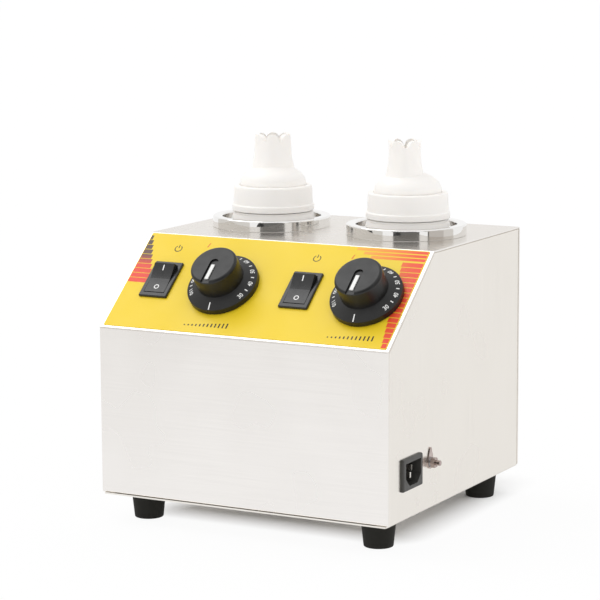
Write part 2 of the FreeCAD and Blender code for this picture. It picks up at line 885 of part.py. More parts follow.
def make_label():
    low = "label_bottom_margin"
    high = f"{SLOPE}-label_top_margin"
    side = "(width/2-label_side_margin)"
    body = new_body("label_sheet")
    corners = [(f"-{side}", low), (side, low), (side, high), (f"-{side}", high)]
    pad(body, draw(body, "label_outline", "XY_Plane", [corners]), "label_gauge")
    rounded(body, "label_corner_radius",
            lambda edge: near(edge.BoundBox.ZLength, size.label_gauge) and near(edge.BoundBox.XLength, 0))
    body.Placement = on_panel(0, 0)
    tools = panel_tools("label", "bush_radius+2*screw_clearance", "switch_body_length+2*switch_cut_clearance",
                        "switch_body_width+2*switch_cut_clearance", "label_gauge+2*overrun", size.overrun)
    for tool in tools:
        if "_screw_" in tool.Name:
            bind(tool, Radius="screw_head_radius+screw_clearance")
    return finish(cut("label_cut", body, tools), "control_panel_label")


def thermostat_bottom(sign):
    depth = size.sheet_gauge + size.thermostat_plate_gauge + size.thermostat_body_height
    return knob_place(sign, -depth)


def make_thermostat(side, sign):
    """Plate against the back of the panel, body under it, and a bush up through the panel."""
    plate_low = -size.sheet_gauge - size.thermostat_plate_gauge
    body_low = plate_low - size.thermostat_body_height
    plate = block(f"thermostat_{side}_plate", "thermostat_plate_width", "thermostat_plate_length",
                  "thermostat_plate_gauge",
                  (-size.thermostat_plate_width / 2, -size.thermostat_plate_length / 2, plate_low))
    body = block(f"thermostat_{side}_body", "thermostat_body_width", "thermostat_body_length",
                 "thermostat_body_height",
                 (-size.thermostat_body_width / 2, -size.thermostat_body_length / 2, body_low))
    bush = rod(f"thermostat_{side}_bush", "bush_radius", "sheet_gauge+bush_height", (0, 0, -size.sheet_gauge))
    blades = []
    for end in (-1, 1):
        inwards = Placement(Vector(0, end * size.thermostat_body_length / 3, body_low),
                            Rotation(Vector(1, 0, 0), 180))
        blades.append(blade(f"thermostat_{side}_blade_{end + 1}", inwards))
    whole = fuse(f"thermostat_{side}_fused", [plate, body, bush] + blades)
    bore = rod(f"thermostat_{side}_bore", "shaft_radius+running_clearance",
               "shaft_root+sheet_gauge+bush_height+overrun", (0, 0, -size.sheet_gauge - size.shaft_root))
    holes = [bore]
    for end in (-1, 1):
        holes.append(rod(f"thermostat_{side}_screw_{end + 1}", "screw_radius+running_clearance",
                         "screw_length+overrun",
                         (0, end * size.thermostat_screw_span / 2, -size.screw_length)))
    finish(cut(f"thermostat_{side}_cut", whole, holes), f"thermostat_{side}", knob_place(sign))


def make_shaft(side, sign):
    low = -size.sheet_gauge - size.shaft_root + size.shaft_end_gap
    shaft = rod(f"shaft_{side}_round", "shaft_radius",
                "sheet_gauge+shaft_root+label_gauge+knob_lift+knob_bore_depth-2*shaft_end_gap", (0, 0, low))
    flat_low = size.label_gauge + size.knob_lift + size.skirt_rim_height
    flat = block(f"shaft_{side}_flat", "2*shaft_radius", "shaft_flat+overrun", "knob_bore_depth",
                 (-size.shaft_radius, size.shaft_radius - size.shaft_flat, flat_low))
    finish(cut(f"shaft_{side}_cut", shaft, [flat]), f"thermostat_shaft_{side}", knob_place(sign))


def make_knob(side, sign):
    """Round knob: a numbered skirt, a tall round cap, and a hub on the shaft."""
    rim = "skirt_radius-skirt_wall"
    inner = "cap_radius-cap_wall"
    under = "skirt_height-skirt_wall"
    roof = "knob_height-cap_wall"
    bore = "shaft_radius+running_clearance"
    outline = [
        ("0", "knob_height"),
        ("cap_radius", "knob_height"),
        ("cap_radius", "skirt_height"),
        ("skirt_radius", "skirt_rim_height"),
        ("skirt_radius", "0"),
        (rim, "0"),
        (rim, "skirt_rim_height-skirt_wall"),
        (inner, under),
        (inner, roof),
        ("knob_hub_radius", roof),
        ("knob_hub_radius", "skirt_rim_height"),
        (bore, "skirt_rim_height"),
        (bore, "knob_bore_depth"),
        ("0", "knob_bore_depth"),
    ]
    body = turned(f"knob_{side}_turned", outline)
    rounded(body, "knob_edge_radius", circle_at(size.knob_height, size.cap_radius))
    slot_low = size.knob_height - size.pointer_slot_depth
    end = rod(f"knob_{side}_slot_end", "pointer_slot_width/2", "pointer_slot_depth+overrun",
              (0, size.pointer_slot_rise, slot_low))
    run = block(f"knob_{side}_slot_run", "pointer_slot_width", "cap_radius+pointer_slot_rise+overrun",
                "pointer_slot_depth+overrun",
                (-size.pointer_slot_width / 2, -size.cap_radius - size.overrun, slot_low))
    slot = fuse(f"knob_{side}_slot", [end, run])
    place = knob_place(sign, size.label_gauge + size.knob_lift)
    finish(cut(f"knob_{side}_cut", body, [slot]), f"knob_{side}", place)


def make_pointer(side, sign):
    low = size.knob_height - size.pointer_slot_depth
    bar = block(f"pointer_{side}_bar", "pointer_width", "pointer_length", "pointer_height",
                (-size.pointer_width / 2, -size.pointer_length, low))
    finish(bar, f"pointer_{side}", knob_place(sign, size.label_gauge + size.knob_lift))


def make_thermostat_screws():
    screw = turned_screw("thermostat_screw", "screw_radius", "screw_head_radius", "screw_head_height",
                         "screw_length")
    repeated("thermostat_screws", screw, thermostat_screw_places(-1) + thermostat_screw_places(1))


def make_rocker_housing(side, sign):
    """Bezel on the label, body through the panel, an open well for the rocker, and two blades."""
    bezel = block(f"switch_{side}_bezel", "bezel_width", "bezel_length", "bezel_height",
                  (-size.bezel_width / 2, -size.bezel_length / 2, size.label_gauge))
    doc.recompute()
    rim = doc.addObject("Part::Fillet", f"switch_{side}_rim")
    rim.Base = bezel
    top = size.label_gauge + size.bezel_height
    wanted = [index for index, edge in enumerate(bezel.Shape.Edges, start=1) if near(edge.BoundBox.ZMax, top)]
    rim.Edges = [(index, size.bezel_edge_radius, size.bezel_edge_radius) for index in wanted]
    body = block(f"switch_{side}_body", "switch_body_width", "switch_body_length",
                 "switch_body_depth+label_gauge",
                 (-size.switch_body_width / 2, -size.switch_body_length / 2, -size.switch_body_depth))
    blades = []
    for end in (-1, 1):
        inwards = Placement(Vector(0, end * size.switch_body_length / 4, -size.switch_body_depth),
                            Rotation(Vector(1, 0, 0), 180))
        blades.append(blade(f"switch_{side}_blade_{end + 1}", inwards))
    whole = fuse(f"switch_{side}_fused", [rim, body] + blades)
    hollow_low = top - size.rocker_well_depth
    half_width = size.rocker_width / 2 + size.rocker_gap
    half_length = size.rocker_end_radius + size.rocker_gap
    hollow = block(f"switch_{side}_hollow", "rocker_width+2*rocker_gap", "2*(rocker_end_radius+rocker_gap)",
                   "rocker_well_depth+overrun", (-half_width, -half_length, hollow_low))
    pivot_height = top - size.rocker_pivot_depth
    reach = half_width + size.rocker_pin_length
    pin_hole = rod(f"switch_{side}_pin_hole", "rocker_pin_radius+running_clearance",
                   "rocker_width+2*rocker_gap+2*rocker_pin_length", (-reach, 0, pivot_height),
                   Vector(1, 0, 0))
    finish(cut(f"switch_{side}_cut", whole, [hollow, pin_hole]), f"rocker_housing_{side}", rocker_place(sign))


def flipped_y(point):
    return Vector(point.x, -point.y, point.z)


def make_rocker(side, sign):
    """Rocker with a shallow waist, ends turned about its pivot, and two pivot pins."""
    end = size.rocker_end_radius
    rise = size.rocker_shoulder_rise
    drop = size.rocker_skirt_drop
    shoulder = Vector(0, math.sqrt(end ** 2 - rise ** 2), rise)
    skirt = Vector(0, math.sqrt(end ** 2 - drop ** 2), -drop)
    middle = Vector(0, end, 0)
    waist = Vector(0, 0, size.rocker_waist_rise)
    face_middle = Vector(0, shoulder.y / 2, (rise + size.rocker_waist_rise) / 2 - size.rocker_face_sag)
    section = Part.Wire([
        Part.Arc(waist, face_middle, shoulder).toShape(),
        Part.Arc(shoulder, middle, skirt).toShape(),
        Part.makeLine(skirt, flipped_y(skirt)),
        Part.Arc(flipped_y(skirt), flipped_y(middle), flipped_y(shoulder)).toShape(),
        Part.Arc(flipped_y(shoulder), flipped_y(face_middle), waist).toShape(),
    ])
    width = size.rocker_width
    solid = Part.Face(section).extrude(Vector(width, 0, 0))
    solid.translate(Vector(-width / 2, 0, 0))
    pin_length = size.rocker_gap + size.rocker_pin_length - size.running_clearance
    reach = width / 2 + pin_length
    pin = Part.makeCylinder(size.rocker_pin_radius, 2 * reach, Vector(-reach, 0, 0), Vector(1, 0, 0))
    item = doc.addObject("Part::Feature", f"rocker_{side}")
    item.Shape = solid.fuse(pin).removeSplitter()
    tilt = Placement(Vector(0, 0, 0), Rotation(Vector(1, 0, 0), ROCKER_TILT))
    pivot = size.label_gauge + size.bezel_height - size.rocker_pivot_depth
    finish(item, f"rocker_{side}", rocker_place(sign, pivot).multiply(tilt))


# Bottles with their closures


def bottle_place(sign, lift=0.0):
    """A place on the bottle's axis: each bottle stands a little off its well's middle."""
    floor = case_top - size.well_depth + size.well_gauge + size.seat_gap
    return above(well_x(sign) + size.bottle_shift_right, well_y + size.bottle_shift_back, floor + lift)


def make_bottle(side, sign):
    """Upright bottle with a shoulder, a bead under the closure, and a threaded neck open at the top."""
    wall = "bottle_wall"
    bead_top = "(shoulder_top+neck_bead_height)"
    outline = [
        ("0", "0"),
        ("bottle_radius", "0"),
        ("bottle_radius", "shoulder_bottom"),
        ("shoulder_radius", "shoulder_top"),
        ("neck_bead_radius", "shoulder_top"),
        ("neck_bead_radius", bead_top),
        ("neck_radius", bead_top),
        ("neck_radius", "bottle_height"),
        (f"neck_radius-{wall}", "bottle_height"),
        (f"neck_radius-{wall}", f"shoulder_top+{wall}"),
        (f"shoulder_radius-{wall}", f"shoulder_top-{wall}"),
        (f"bottle_radius-{wall}", f"shoulder_bottom-{wall}"),
        (f"bottle_radius-{wall}", wall),
        ("0", wall),
    ]
    body = turned(f"bottle_{side}_blown", outline)
    rounded(body, "bottle_foot_radius", circle_at(0, size.bottle_radius))
    rounded(body, f"bottle_foot_radius-{wall}",
            circle_at(size.bottle_wall, size.bottle_radius - size.bottle_wall))
    neck_low = size.shoulder_top + size.neck_bead_height + size.thread_width
    root = size.neck_radius - size.thread_depth
    helix = Part.makeHelix(size.thread_pitch, size.thread_pitch * THREAD_TURNS, root)
    half = size.thread_width / 2
    crest = size.neck_radius + size.thread_depth
    corners = [Vector(root, 0, -2 * half), Vector(crest, 0, -half / 2), Vector(crest, 0, half / 2),
               Vector(root, 0, 2 * half), Vector(root, 0, -2 * half)]
    thread = Part.Wire(helix.Edges).makePipeShell([Part.makePolygon(corners)], True, True)
    thread.translate(Vector(0, 0, neck_low + half))
    item = doc.addObject("Part::Feature", f"bottle_{side}")
    item.Shape = body.Shape.fuse(thread)
    print(f"bottle {side}: {len(item.Shape.Solids)} solid, volume {item.Shape.Volume:.0f}")
    finish(item, f"bottle_{side}", bottle_place(sign))


def make_screw_ring(side, sign):
    low = size.shoulder_top + size.neck_bead_height + size.ring_to_bead
    opening = "dome_radius+dome_clearance"
    step = "ring_radius-ring_lip_step"
    outline = [
        ("ring_bore_radius", "0"),
        ("ring_radius", "0"),
        ("ring_radius", "ring_lip_height"),
        (step, "ring_lip_height+ring_lip_step"),
        ("ring_top_radius", "ring_height"),
        (opening, "ring_height"),
        (opening, "ring_height-ring_top_gauge"),
        ("ring_bore_radius", "ring_height-ring_top_gauge"),
    ]
    body = turned(f"ring_{side}_moulded", outline)
    rounded(body, "ring_edge_radius", circle_at(size.ring_height, size.ring_top_radius))
    finish(body, f"screw_ring_{side}", bottle_place(sign, low))


def make_gasket(side, sign):
    outline = [
        ("neck_radius-gasket_width", "0"),
        ("neck_radius", "0"),
        ("neck_radius", "gasket_gauge"),
        ("neck_radius-gasket_width", "gasket_gauge"),
    ]
    body = turned(f"gasket_{side}_ring", outline)
    finish(body, f"gasket_{side}", bottle_place(sign, size.bottle_height))


def ellipse(name, half_length, half_width, across, up):
    item = bind(doc.addObject("Part::Ellipse", name), MajorRadius=half_length, MinorRadius=half_width)
    item.Placement.Base = Vector(0, across, up)
    return item


def loft(name, sections):
    item = doc.addObject("Part::Loft", name)
    item.Sections = sections
    item.Solid = True
    return item


def half_dome(name, radius, height, up):
    item = bind(doc.addObject("Part::Ellipsoid", name), Radius1=height, Radius2=radius, Radius3=radius)
    item.Angle1 = 0
    item.Placement.Base.z = up
    return item


def make_nozzle(side, sign, turn):
    """Domed nozzle with an oval spout, set off to one side, and a crown of rounded teeth."""
    flange_top = size.nozzle_flange_gauge
    dome_foot = flange_top + size.ring_top_gauge + size.dome_straight
    spout_top = dome_foot + size.spout_height
    off = size.spout_offset
    flange = rod(f"nozzle_{side}_flange", "nozzle_flange_radius", "nozzle_flange_gauge", (0, 0, 0))
    collar = rod(f"nozzle_{side}_collar", "dome_radius", "nozzle_flange_gauge+ring_top_gauge+dome_straight",
                 (0, 0, 0))
    dome = half_dome(f"nozzle_{side}_dome", "dome_radius", "dome_height", dome_foot)
    spout = loft(f"nozzle_{side}_spout", [
        ellipse(f"nozzle_{side}_root", "spout_root_half_length", "spout_root_half_width", off,
                dome_foot + size.spout_root_height),
        ellipse(f"nozzle_{side}_waist", "spout_waist_half_length", "spout_waist_half_width", off,
                dome_foot + size.spout_waist_height),
        ellipse(f"nozzle_{side}_tip", "spout_top_half_length", "spout_top_half_width", off, spout_top),
    ])
    whole = fuse(f"nozzle_{side}_whole", [flange, collar, dome, spout])

    inner_collar = rod(f"nozzle_{side}_mouth", "dome_radius-nozzle_wall",
                       "nozzle_flange_gauge+ring_top_gauge+dome_straight+overrun", (0, 0, -size.overrun))
    inner_dome = half_dome(f"nozzle_{side}_hollow", "dome_radius-nozzle_wall", "dome_height-nozzle_wall",
                           dome_foot)
    bore = loft(f"nozzle_{side}_bore", [
        ellipse(f"nozzle_{side}_bore_root", "spout_waist_half_length-spout_wall",
                "spout_waist_half_width-spout_wall", off, dome_foot),
        ellipse(f"nozzle_{side}_bore_tip", "spout_top_half_length-spout_wall",
                "spout_top_half_width-spout_wall", off, spout_top + size.overrun),
    ])
    teeth = []
    for index in range(TOOTH_COUNT):
        angle = 2 * math.pi * (index + 0.5) / TOOTH_COUNT
        direction = Vector(math.cos(angle), math.sin(angle), 0)
        teeth.append(rod(f"nozzle_{side}_tooth_{index}", "tooth_radius", "spout_root_half_length+overrun",
                         (0, off, spout_top - size.tooth_radius), direction))
    band = rod(f"nozzle_{side}_band", "spout_root_half_length+overrun", "tooth_radius+overrun",
               (0, off, spout_top - size.tooth_radius))
    notches = cut(f"nozzle_{side}_notches", band, [fuse(f"nozzle_{side}_teeth", teeth)])
    inside = fuse(f"nozzle_{side}_inside", [inner_collar, inner_dome, bore])
    hollowed = cut(f"nozzle_{side}_hollowed", whole, [inside])
    seated = size.bottle_height + size.gasket_gauge
    place = bottle_place(sign, seated).multiply(Placement(Vector(0, 0, 0), Rotation(Vector(0, 0, 1), turn)))
    finish(cut(f"nozzle_{side}_cut", hollowed, [notches]), f"nozzle_{side}", place)


# Inlet and earthing point


def make_inlet_housing():
    flange = block("inlet_flange", "inlet_flange_length", "inlet_flange_height", "inlet_flange_gauge",
                   (-size.inlet_flange_length / 2, -size.inlet_flange_height / 2, 0))
    doc.recompute()
    rim = doc.addObject("Part::Fillet", "inlet_rim")
    rim.Base = flange
    wanted = [index for index, edge in enumerate(flange.Shape.Edges, start=1)
              if near(edge.BoundBox.ZMax, size.inlet_flange_gauge)]
    rim.Edges = [(index, size.inlet_edge_radius, size.inlet_edge_radius) for index in wanted]
    body = block("inlet_body", "inlet_body_length", "inlet_body_height", "inlet_body_depth",
                 (-size.inlet_body_length / 2, -size.inlet_body_height / 2, -size.inlet_body_depth))
    recess = new_body("inlet_recess")
    side = "inlet_recess_length/2"
    up = "inlet_recess_height/2"
    corners = [
        (f"-{side}", up),
        (f"-{side}", f"-{up}+inlet_recess_chamfer"),
        (f"-{side}+inlet_recess_chamfer", f"-{up}"),
        (f"{side}-inlet_recess_chamfer", f"-{up}"),
        (side, f"-{up}+inlet_recess_chamfer"),
        (side, up),
    ]
    pad(recess, draw(recess, "inlet_recess_outline", "XY_Plane", [corners],
                     offset="inlet_flange_gauge-inlet_recess_depth"), "inlet_recess_depth+overrun")
    holes = [recess]
    for index, (across, height, _) in enumerate(pin_spots()):
        holes.append(block(f"inlet_pin_hole_{index}", "pin_gauge+2*running_clearance",
                           "pin_width+2*running_clearance", "inlet_body_depth",
                           (across - size.pin_gauge / 2 - size.running_clearance,
                            height - size.pin_width / 2 - size.running_clearance, -size.inlet_body_depth)))
    whole = fuse("inlet_fused", [rim, body])
    finish(cut("inlet_cut", whole, holes), "inlet_housing",
           on_right_wall(size.inlet_from_front, size.inlet_above_floor))


def pin_spots():
    """Line and neutral side by side and deeper, earth between them and lower, as (across, up, lift)."""
    return [(-size.pin_spacing, size.pin_offset, -size.live_pin_step),
            (size.pin_spacing, size.pin_offset, -size.live_pin_step), (0, -size.pin_offset, 0)]


def make_inlet_pins():
    pin = block("inlet_pin", "pin_gauge", "pin_width",
                "inlet_flange_gauge-pin_setback+inlet_body_depth+pin_tail",
                (-size.pin_gauge / 2, -size.pin_width / 2, -size.inlet_body_depth - size.pin_tail))
    wall = on_right_wall(size.inlet_from_front, size.inlet_above_floor)
    places = [wall.multiply(above(*spot)) for spot in pin_spots()]
    repeated("inlet_pins", pin, places)


def hexagon(width):
    """Corners of a hexagon, given across its flats."""
    radius = f"({width})/sqrt(3)"
    turns = [360 * index / HEX_SIDES for index in range(HEX_SIDES)]
    return [(f"{radius}*cos({turn}deg)", f"{radius}*sin({turn}deg)") for turn in turns]


def hex_piece(name, width, height, bore=None):
    body = new_body(name)
    outline = hexagon(width)
    outline[0] = (outline[0][0], "0")
    outline[HEX_SIDES // 2] = (outline[HEX_SIDES // 2][0], "0")
    loops = [outline] if bore is None else [outline, ("0", "0", bore)]
    pad(body, draw(body, f"{name}_outline", "XY_Plane", loops), height)
    return body


def flipped_x(point):
    return Vector(-point.x, point.y, point.z)


def make_earthing_point():
    """Stud through the right wall with its head inside; outside a tag, a washer and a nut."""
    wall = on_right_wall(size.earth_from_front, size.earth_above_floor)
    bore = "earth_stud_radius+running_clearance"
    head = hex_piece("earth_head", "earth_head_width", "earth_head_height")
    head.Placement.Base.z = -size.sheet_gauge - size.earth_head_height
    shank = rod("earth_shank", "earth_stud_radius", "earth_stud_length+sheet_gauge",
                (0, 0, -size.sheet_gauge))
    finish(fuse("earth_stud_fused", [head, shank]), "earth_stud", wall)

    tip_up = size.tag_length - size.tag_tip_radius
    lean = math.asin((size.tag_radius - size.tag_tip_radius) / tip_up)
    low_side = Vector(size.tag_radius * math.cos(lean), size.tag_radius * math.sin(lean), 0)
    high_side = Vector(size.tag_tip_radius * math.cos(lean), tip_up + size.tag_tip_radius * math.sin(lean), 0)
    outline = Part.Wire([
        Part.makeLine(low_side, high_side),
        Part.Arc(high_side, Vector(0, size.tag_length, 0), flipped_x(high_side)).toShape(),
        Part.makeLine(flipped_x(high_side), flipped_x(low_side)),
        Part.Arc(flipped_x(low_side), Vector(0, -size.tag_radius, 0), low_side).toShape(),
    ])
    hole_radius = size.earth_stud_radius + size.running_clearance
    hole = Part.makeCylinder(hole_radius, 2 * size.overrun + size.tag_gauge, Vector(0, 0, -size.overrun))
    tag = doc.addObject("Part::Feature", "earth_tag")
    tag.Shape = Part.Face(outline).extrude(Vector(0, 0, size.tag_gauge)).cut(hole)
    finish(tag, "earth_tag", wall)

    washer_section = [
        (bore, "0"),
        ("washer_radius", "0"),
        ("washer_radius", "washer_gauge"),
        (bore, "washer_gauge"),
    ]
    washer = turned("earth_washer_ring", washer_section)
    finish(washer, "earth_washer", wall.multiply(above(0, 0, size.tag_gauge)))
    nut = hex_piece("earth_nut_hex", "nut_width", "nut_height", bore)
    finish(nut, "earth_nut", wall.multiply(above(0, 0, size.tag_gauge + size.washer_gauge)))


# Screws and the terminal block


def turned_screw(name, radius, head_radius, head_height, length):
    """A pan-headed screw with a driver slot: shank down from Z zero, head up."""
    outline = [
        ("0", f"-({length})"),
        (radius, f"-({length})"),
        (radius, "0"),
        (head_radius, "0"),
        (head_radius, head_height),
        ("0", head_height),
    ]
    body = turned(f"{name}_turned", outline)
    rounded(body, f"({head_height})/3", lambda edge: isinstance(edge.Curve, Part.Circle)
            and edge.Curve.Center.z > 0 and near(edge.Curve.Radius, body.Shape.BoundBox.XMax))
    doc.recompute()
    top = body.Shape.BoundBox.ZMax
    reach = body.Shape.BoundBox.XMax
    slot = block(f"{name}_slot", f"2*({head_radius})", "slot_width", "slot_depth",
                 (-reach, -size.slot_width / 2, top - size.slot_depth))
    return cut(f"{name}_slotted", body, [slot])


def make_case_screws():
    screw = turned_screw("case_screw", "screw_radius", "screw_head_radius", "screw_head_height",
                         "screw_length")
    repeated("cover_screws", screw, back_screw_places(0) + bottom_screw_places(0))


def make_foot_screws():
    grip = "foot_height-foot_recess_depth+sheet_gauge+nut_height+screw_clearance"
    screw = turned_screw("foot_screw", "screw_radius", "screw_head_radius", "screw_head_height", grip)
    upwards = Rotation(Vector(1, 0, 0), 180)
    places = [Placement(Vector(x, y, size.foot_recess_depth), upwards) for x, y in foot_places().values()]
    repeated("foot_screws", screw, places)
    nut = hex_piece("foot_nut", "nut_width", "nut_height", "screw_radius+running_clearance")
    repeated("foot_nuts", nut, [above(x, y, floor_top) for x, y in foot_places().values()])


def block_screw_place(end):
    reach = size.block_length / 2 - size.block_screw_reach / 2
    return above(size.block_right_of_middle + end * reach, -size.block_front_of_middle,
                 floor_top + size.block_height / 2)


def make_terminal_block():
    base = block("terminal_base", "block_length", "block_width", "block_height/2",
                 (-size.block_length / 2, -size.block_width / 2, 0))
    towers = []
    for index in range(POLE_COUNT):
        x = (index - (POLE_COUNT - 1) / 2) * size.tower_pitch
        towers.append(block(f"terminal_tower_{index}", "tower_width", "block_width",
                            "block_height+tower_height",
                            (x - size.tower_width / 2, -size.block_width / 2, 0)))
    whole = fuse("terminal_fused", [base] + towers)
    holes = []
    for end in (-1, 1):
        reach = block_screw_place(end).Base.x - size.block_right_of_middle
        holes.append(rod(f"terminal_hole_{end + 1}", "screw_radius+running_clearance",
                         "block_height+2*overrun", (reach, 0, -size.overrun)))
    place = above(size.block_right_of_middle, -size.block_front_of_middle, floor_top)
    finish(cut("terminal_cut", whole, holes), "terminal_block", place)
    screw = turned_screw("terminal_screw", "screw_radius", "screw_radius+3*slot_width/2", "screw_head_height",
                         "block_height/2+sheet_gauge")
    repeated("terminal_screws", screw, [block_screw_place(end) for end in (-1, 1)])


# Leads between the inlet, the block, the controls and the heaters


def tower_top(pole, back_of_middle=0.0):
    """A place on the top of one of the block's towers, counted from the left."""
    x = size.block_right_of_middle + (pole - (POLE_COUNT - 1) / 2) * size.tower_pitch
    top = floor_top + size.block_height + size.tower_height
    return Vector(x, back_of_middle - size.block_front_of_middle, top)


def raised(point, rise):
    return point + Vector(0, 0, rise)


def cutout_blade_tip(sign, end):
    """The lower end of one of a cut-out's blades."""
    tip_z = case_top - size.well_depth - size.cutout_height - size.blade_length
    return Vector(well_x(sign) + end * size.cutout_radius / 2, well_y, tip_z)


def inlet_leads():
    """Line and neutral to the block, earth to the stud's head."""
    wall = on_right_wall(size.inlet_from_front, size.inlet_above_floor)
    line, neutral, earth = [wall.multVec(Vector(across, up, lift - size.inlet_body_depth - size.pin_tail))
                            for across, up, lift in pin_spots()]
    line_top = tower_top(POLE_COUNT - 1, -size.lead_row / 2)
    neutral_top = tower_top(POLE_COUNT - 2)
    neutral_top.y = neutral.y
    head = on_right_wall(size.earth_from_front, size.earth_above_floor).multVec(
        Vector(0, 0, -size.sheet_gauge - size.earth_head_height))
    turn_x = earth.x - 2 * size.lead_reach
    return [
        [line, Vector(line_top.x, line.y, line.z), Vector(line_top.x, line_top.y, line.z), line_top],
        [neutral, Vector(neutral_top.x, neutral.y, neutral.z), neutral_top],
        [earth, Vector(turn_x, earth.y, earth.z), Vector(turn_x, head.y, head.z), head],
    ]


def control_leads(sign):
    """Block to switch, switch to thermostat, thermostat to cut-out, all along the front of the wells."""
    switch_reach = size.switch_body_length / 4
    switch_low = -size.switch_body_depth - size.blade_length
    sensor_reach = size.thermostat_body_length / 3
    sensor_low = -size.sheet_gauge - size.thermostat_plate_gauge - size.thermostat_body_height
    sensor_low -= size.blade_length
    deep = sensor_low - size.lead_reach
    switch = rocker_place(sign)
    thermostat = knob_place(sign)
    feed_top = tower_top(1 if sign > 0 else 0, sign * size.lead_row / 2)
    feed_end = switch.multVec(Vector(0, -switch_reach, switch_low))
    feed_turn = switch.multVec(Vector(0, -switch_reach, switch_low - size.lead_reach))
    low = floor_top + size.lead_layer
    high = floor_top + size.lead_high
    feed_low = Vector(feed_turn.x, feed_turn.y, high + size.lead_reach)
    blade_tip = cutout_blade_tip(sign, -1)
    lower_blade = thermostat.multVec(Vector(0, -sensor_reach, sensor_low))
    lower_turn = thermostat.multVec(Vector(0, -sensor_reach, deep))
    return [
        [feed_end, feed_turn, feed_low, raised(feed_top, high - feed_top.z), feed_top],
        [switch.multVec(Vector(0, switch_reach, switch_low)), switch.multVec(Vector(0, switch_reach, deep)),
         thermostat.multVec(Vector(0, sensor_reach, deep)),
         thermostat.multVec(Vector(0, sensor_reach, sensor_low))],
        [lower_blade, lower_turn, Vector(lower_turn.x, lower_turn.y, low),
         Vector(blade_tip.x, blade_tip.y, low), blade_tip],
    ]


def heater_leads(sign):
    """Cut-out to heater, and heater back to the block."""
    radius = size.well_bore_radius + size.well_gauge + size.wrap_clearance + size.heater_gauge / 2
    ahead = -math.sqrt(radius ** 2 - size.heater_lead_arc ** 2)
    heater_low = case_top - size.well_depth + size.heater_bottom
    ends = [Vector(well_x(sign) + end * size.heater_lead_arc, well_y + ahead, heater_low) for end in (1, -1)]
    blade_tip = cutout_blade_tip(sign, 1)
    low = floor_top + size.lead_layer
    neutral_top = tower_top(POLE_COUNT - 2, size.lead_row)
    neutral_top.x += sign * size.lead_pair
    layer = neutral_top.z + size.lead_layer
    return [
        [blade_tip, Vector(blade_tip.x, blade_tip.y, low), Vector(ends[0].x, ends[0].y, low), ends[0]],
        [neutral_top, raised(neutral_top, size.lead_layer), Vector(ends[1].x, ends[1].y, layer), ends[1]],
    ]


def make_wiring():
    runs = inlet_leads()
    for _, sign in SIDES:
        runs += control_leads(sign) + heater_leads(sign)
    item = doc.addObject("Part::Feature", "wiring")
    item.Shape = Part.makeCompound([tube(points, size.lead_radius, size.lead_bend) for points in runs])
    finish(item, "wiring")


# The whole warmer

make_cover()
make_base_tray()
make_feet()
for side, sign in SIDES:
    make_collar(side, sign)
    make_well(side, sign)
    make_heater(side, sign)
    make_insulation(side, sign)
    make_cutout(side, sign)
    make_sensor(side, sign)
    make_thermostat(side, sign)
    make_shaft(side, sign)
    make_knob(side, sign)
    make_pointer(side, sign)
    make_rocker_housing(side, sign)
    make_rocker(side, sign)
    make_bottle(side, sign)
    make_screw_ring(side, sign)
    make_gasket(side, sign)
    make_nozzle(side, sign, NOZZLE_TURNS[side])
make_collar_screws()
make_label()
make_thermostat_screws()
make_inlet_housing()
make_inlet_pins()
make_earthing_point()
make_case_screws()
make_foot_screws()
make_terminal_block()
make_wiring()


# Check everything, then write each sub-part to its own file

doc.recompute()
for item in doc.Objects:
    if "Invalid" in item.State or "Error" in item.State:
        raise ValueError(f"{item.Name} failed")
for item in finished:
    shape = item.Shape
    if shape.isNull() or not shape.isValid() or shape.Volume <= 0:
        raise ValueError(f"{item.Label} has no valid solid")
for item in finished:
    item.Shape.exportStep(f"parts/{item.Label}.step")
print(f"{len(finished)} sub-parts written")
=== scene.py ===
import json
import math

import bmesh
import bpy
from mathutils import Matrix, Vector
from mathutils.bvhtree import BVHTree


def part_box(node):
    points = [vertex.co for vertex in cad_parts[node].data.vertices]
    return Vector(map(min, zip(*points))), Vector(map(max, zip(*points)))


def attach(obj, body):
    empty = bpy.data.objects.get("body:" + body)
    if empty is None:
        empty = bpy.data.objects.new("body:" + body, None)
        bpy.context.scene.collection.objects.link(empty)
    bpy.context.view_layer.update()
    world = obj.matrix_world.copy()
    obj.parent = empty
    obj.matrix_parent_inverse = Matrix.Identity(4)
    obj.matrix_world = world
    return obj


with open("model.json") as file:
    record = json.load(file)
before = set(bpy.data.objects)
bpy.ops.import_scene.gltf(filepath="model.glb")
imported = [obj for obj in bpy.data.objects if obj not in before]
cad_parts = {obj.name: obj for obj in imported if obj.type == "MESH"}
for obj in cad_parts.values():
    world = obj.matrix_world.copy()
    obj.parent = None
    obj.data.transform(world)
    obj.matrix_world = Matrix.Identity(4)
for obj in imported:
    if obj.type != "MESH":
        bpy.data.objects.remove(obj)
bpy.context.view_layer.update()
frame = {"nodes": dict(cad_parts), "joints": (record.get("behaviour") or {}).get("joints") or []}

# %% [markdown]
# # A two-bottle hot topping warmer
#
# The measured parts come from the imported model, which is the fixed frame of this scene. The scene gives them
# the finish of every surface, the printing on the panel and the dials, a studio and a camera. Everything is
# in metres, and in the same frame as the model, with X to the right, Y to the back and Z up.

MM = 0.001

# %% [markdown]
# ## Camera
#
# A long lens stands well back and a little above the warmer, to its right. Its place and turn were found from
# the corners of the case, so the focal length, the height and the three turns belong together. The turns are
# given as a photographer would say them: how far round, how far down, and how far the horizon leans.

# %% Camera
CAMERA_PLACE = (0.89128, -1.67346, 0.46288)
LENS = 151.04
SENSOR = 36
YAW, PITCH, ROLL = (math.radians(angle) for angle in (28.4974, 9.0293, -0.2784))


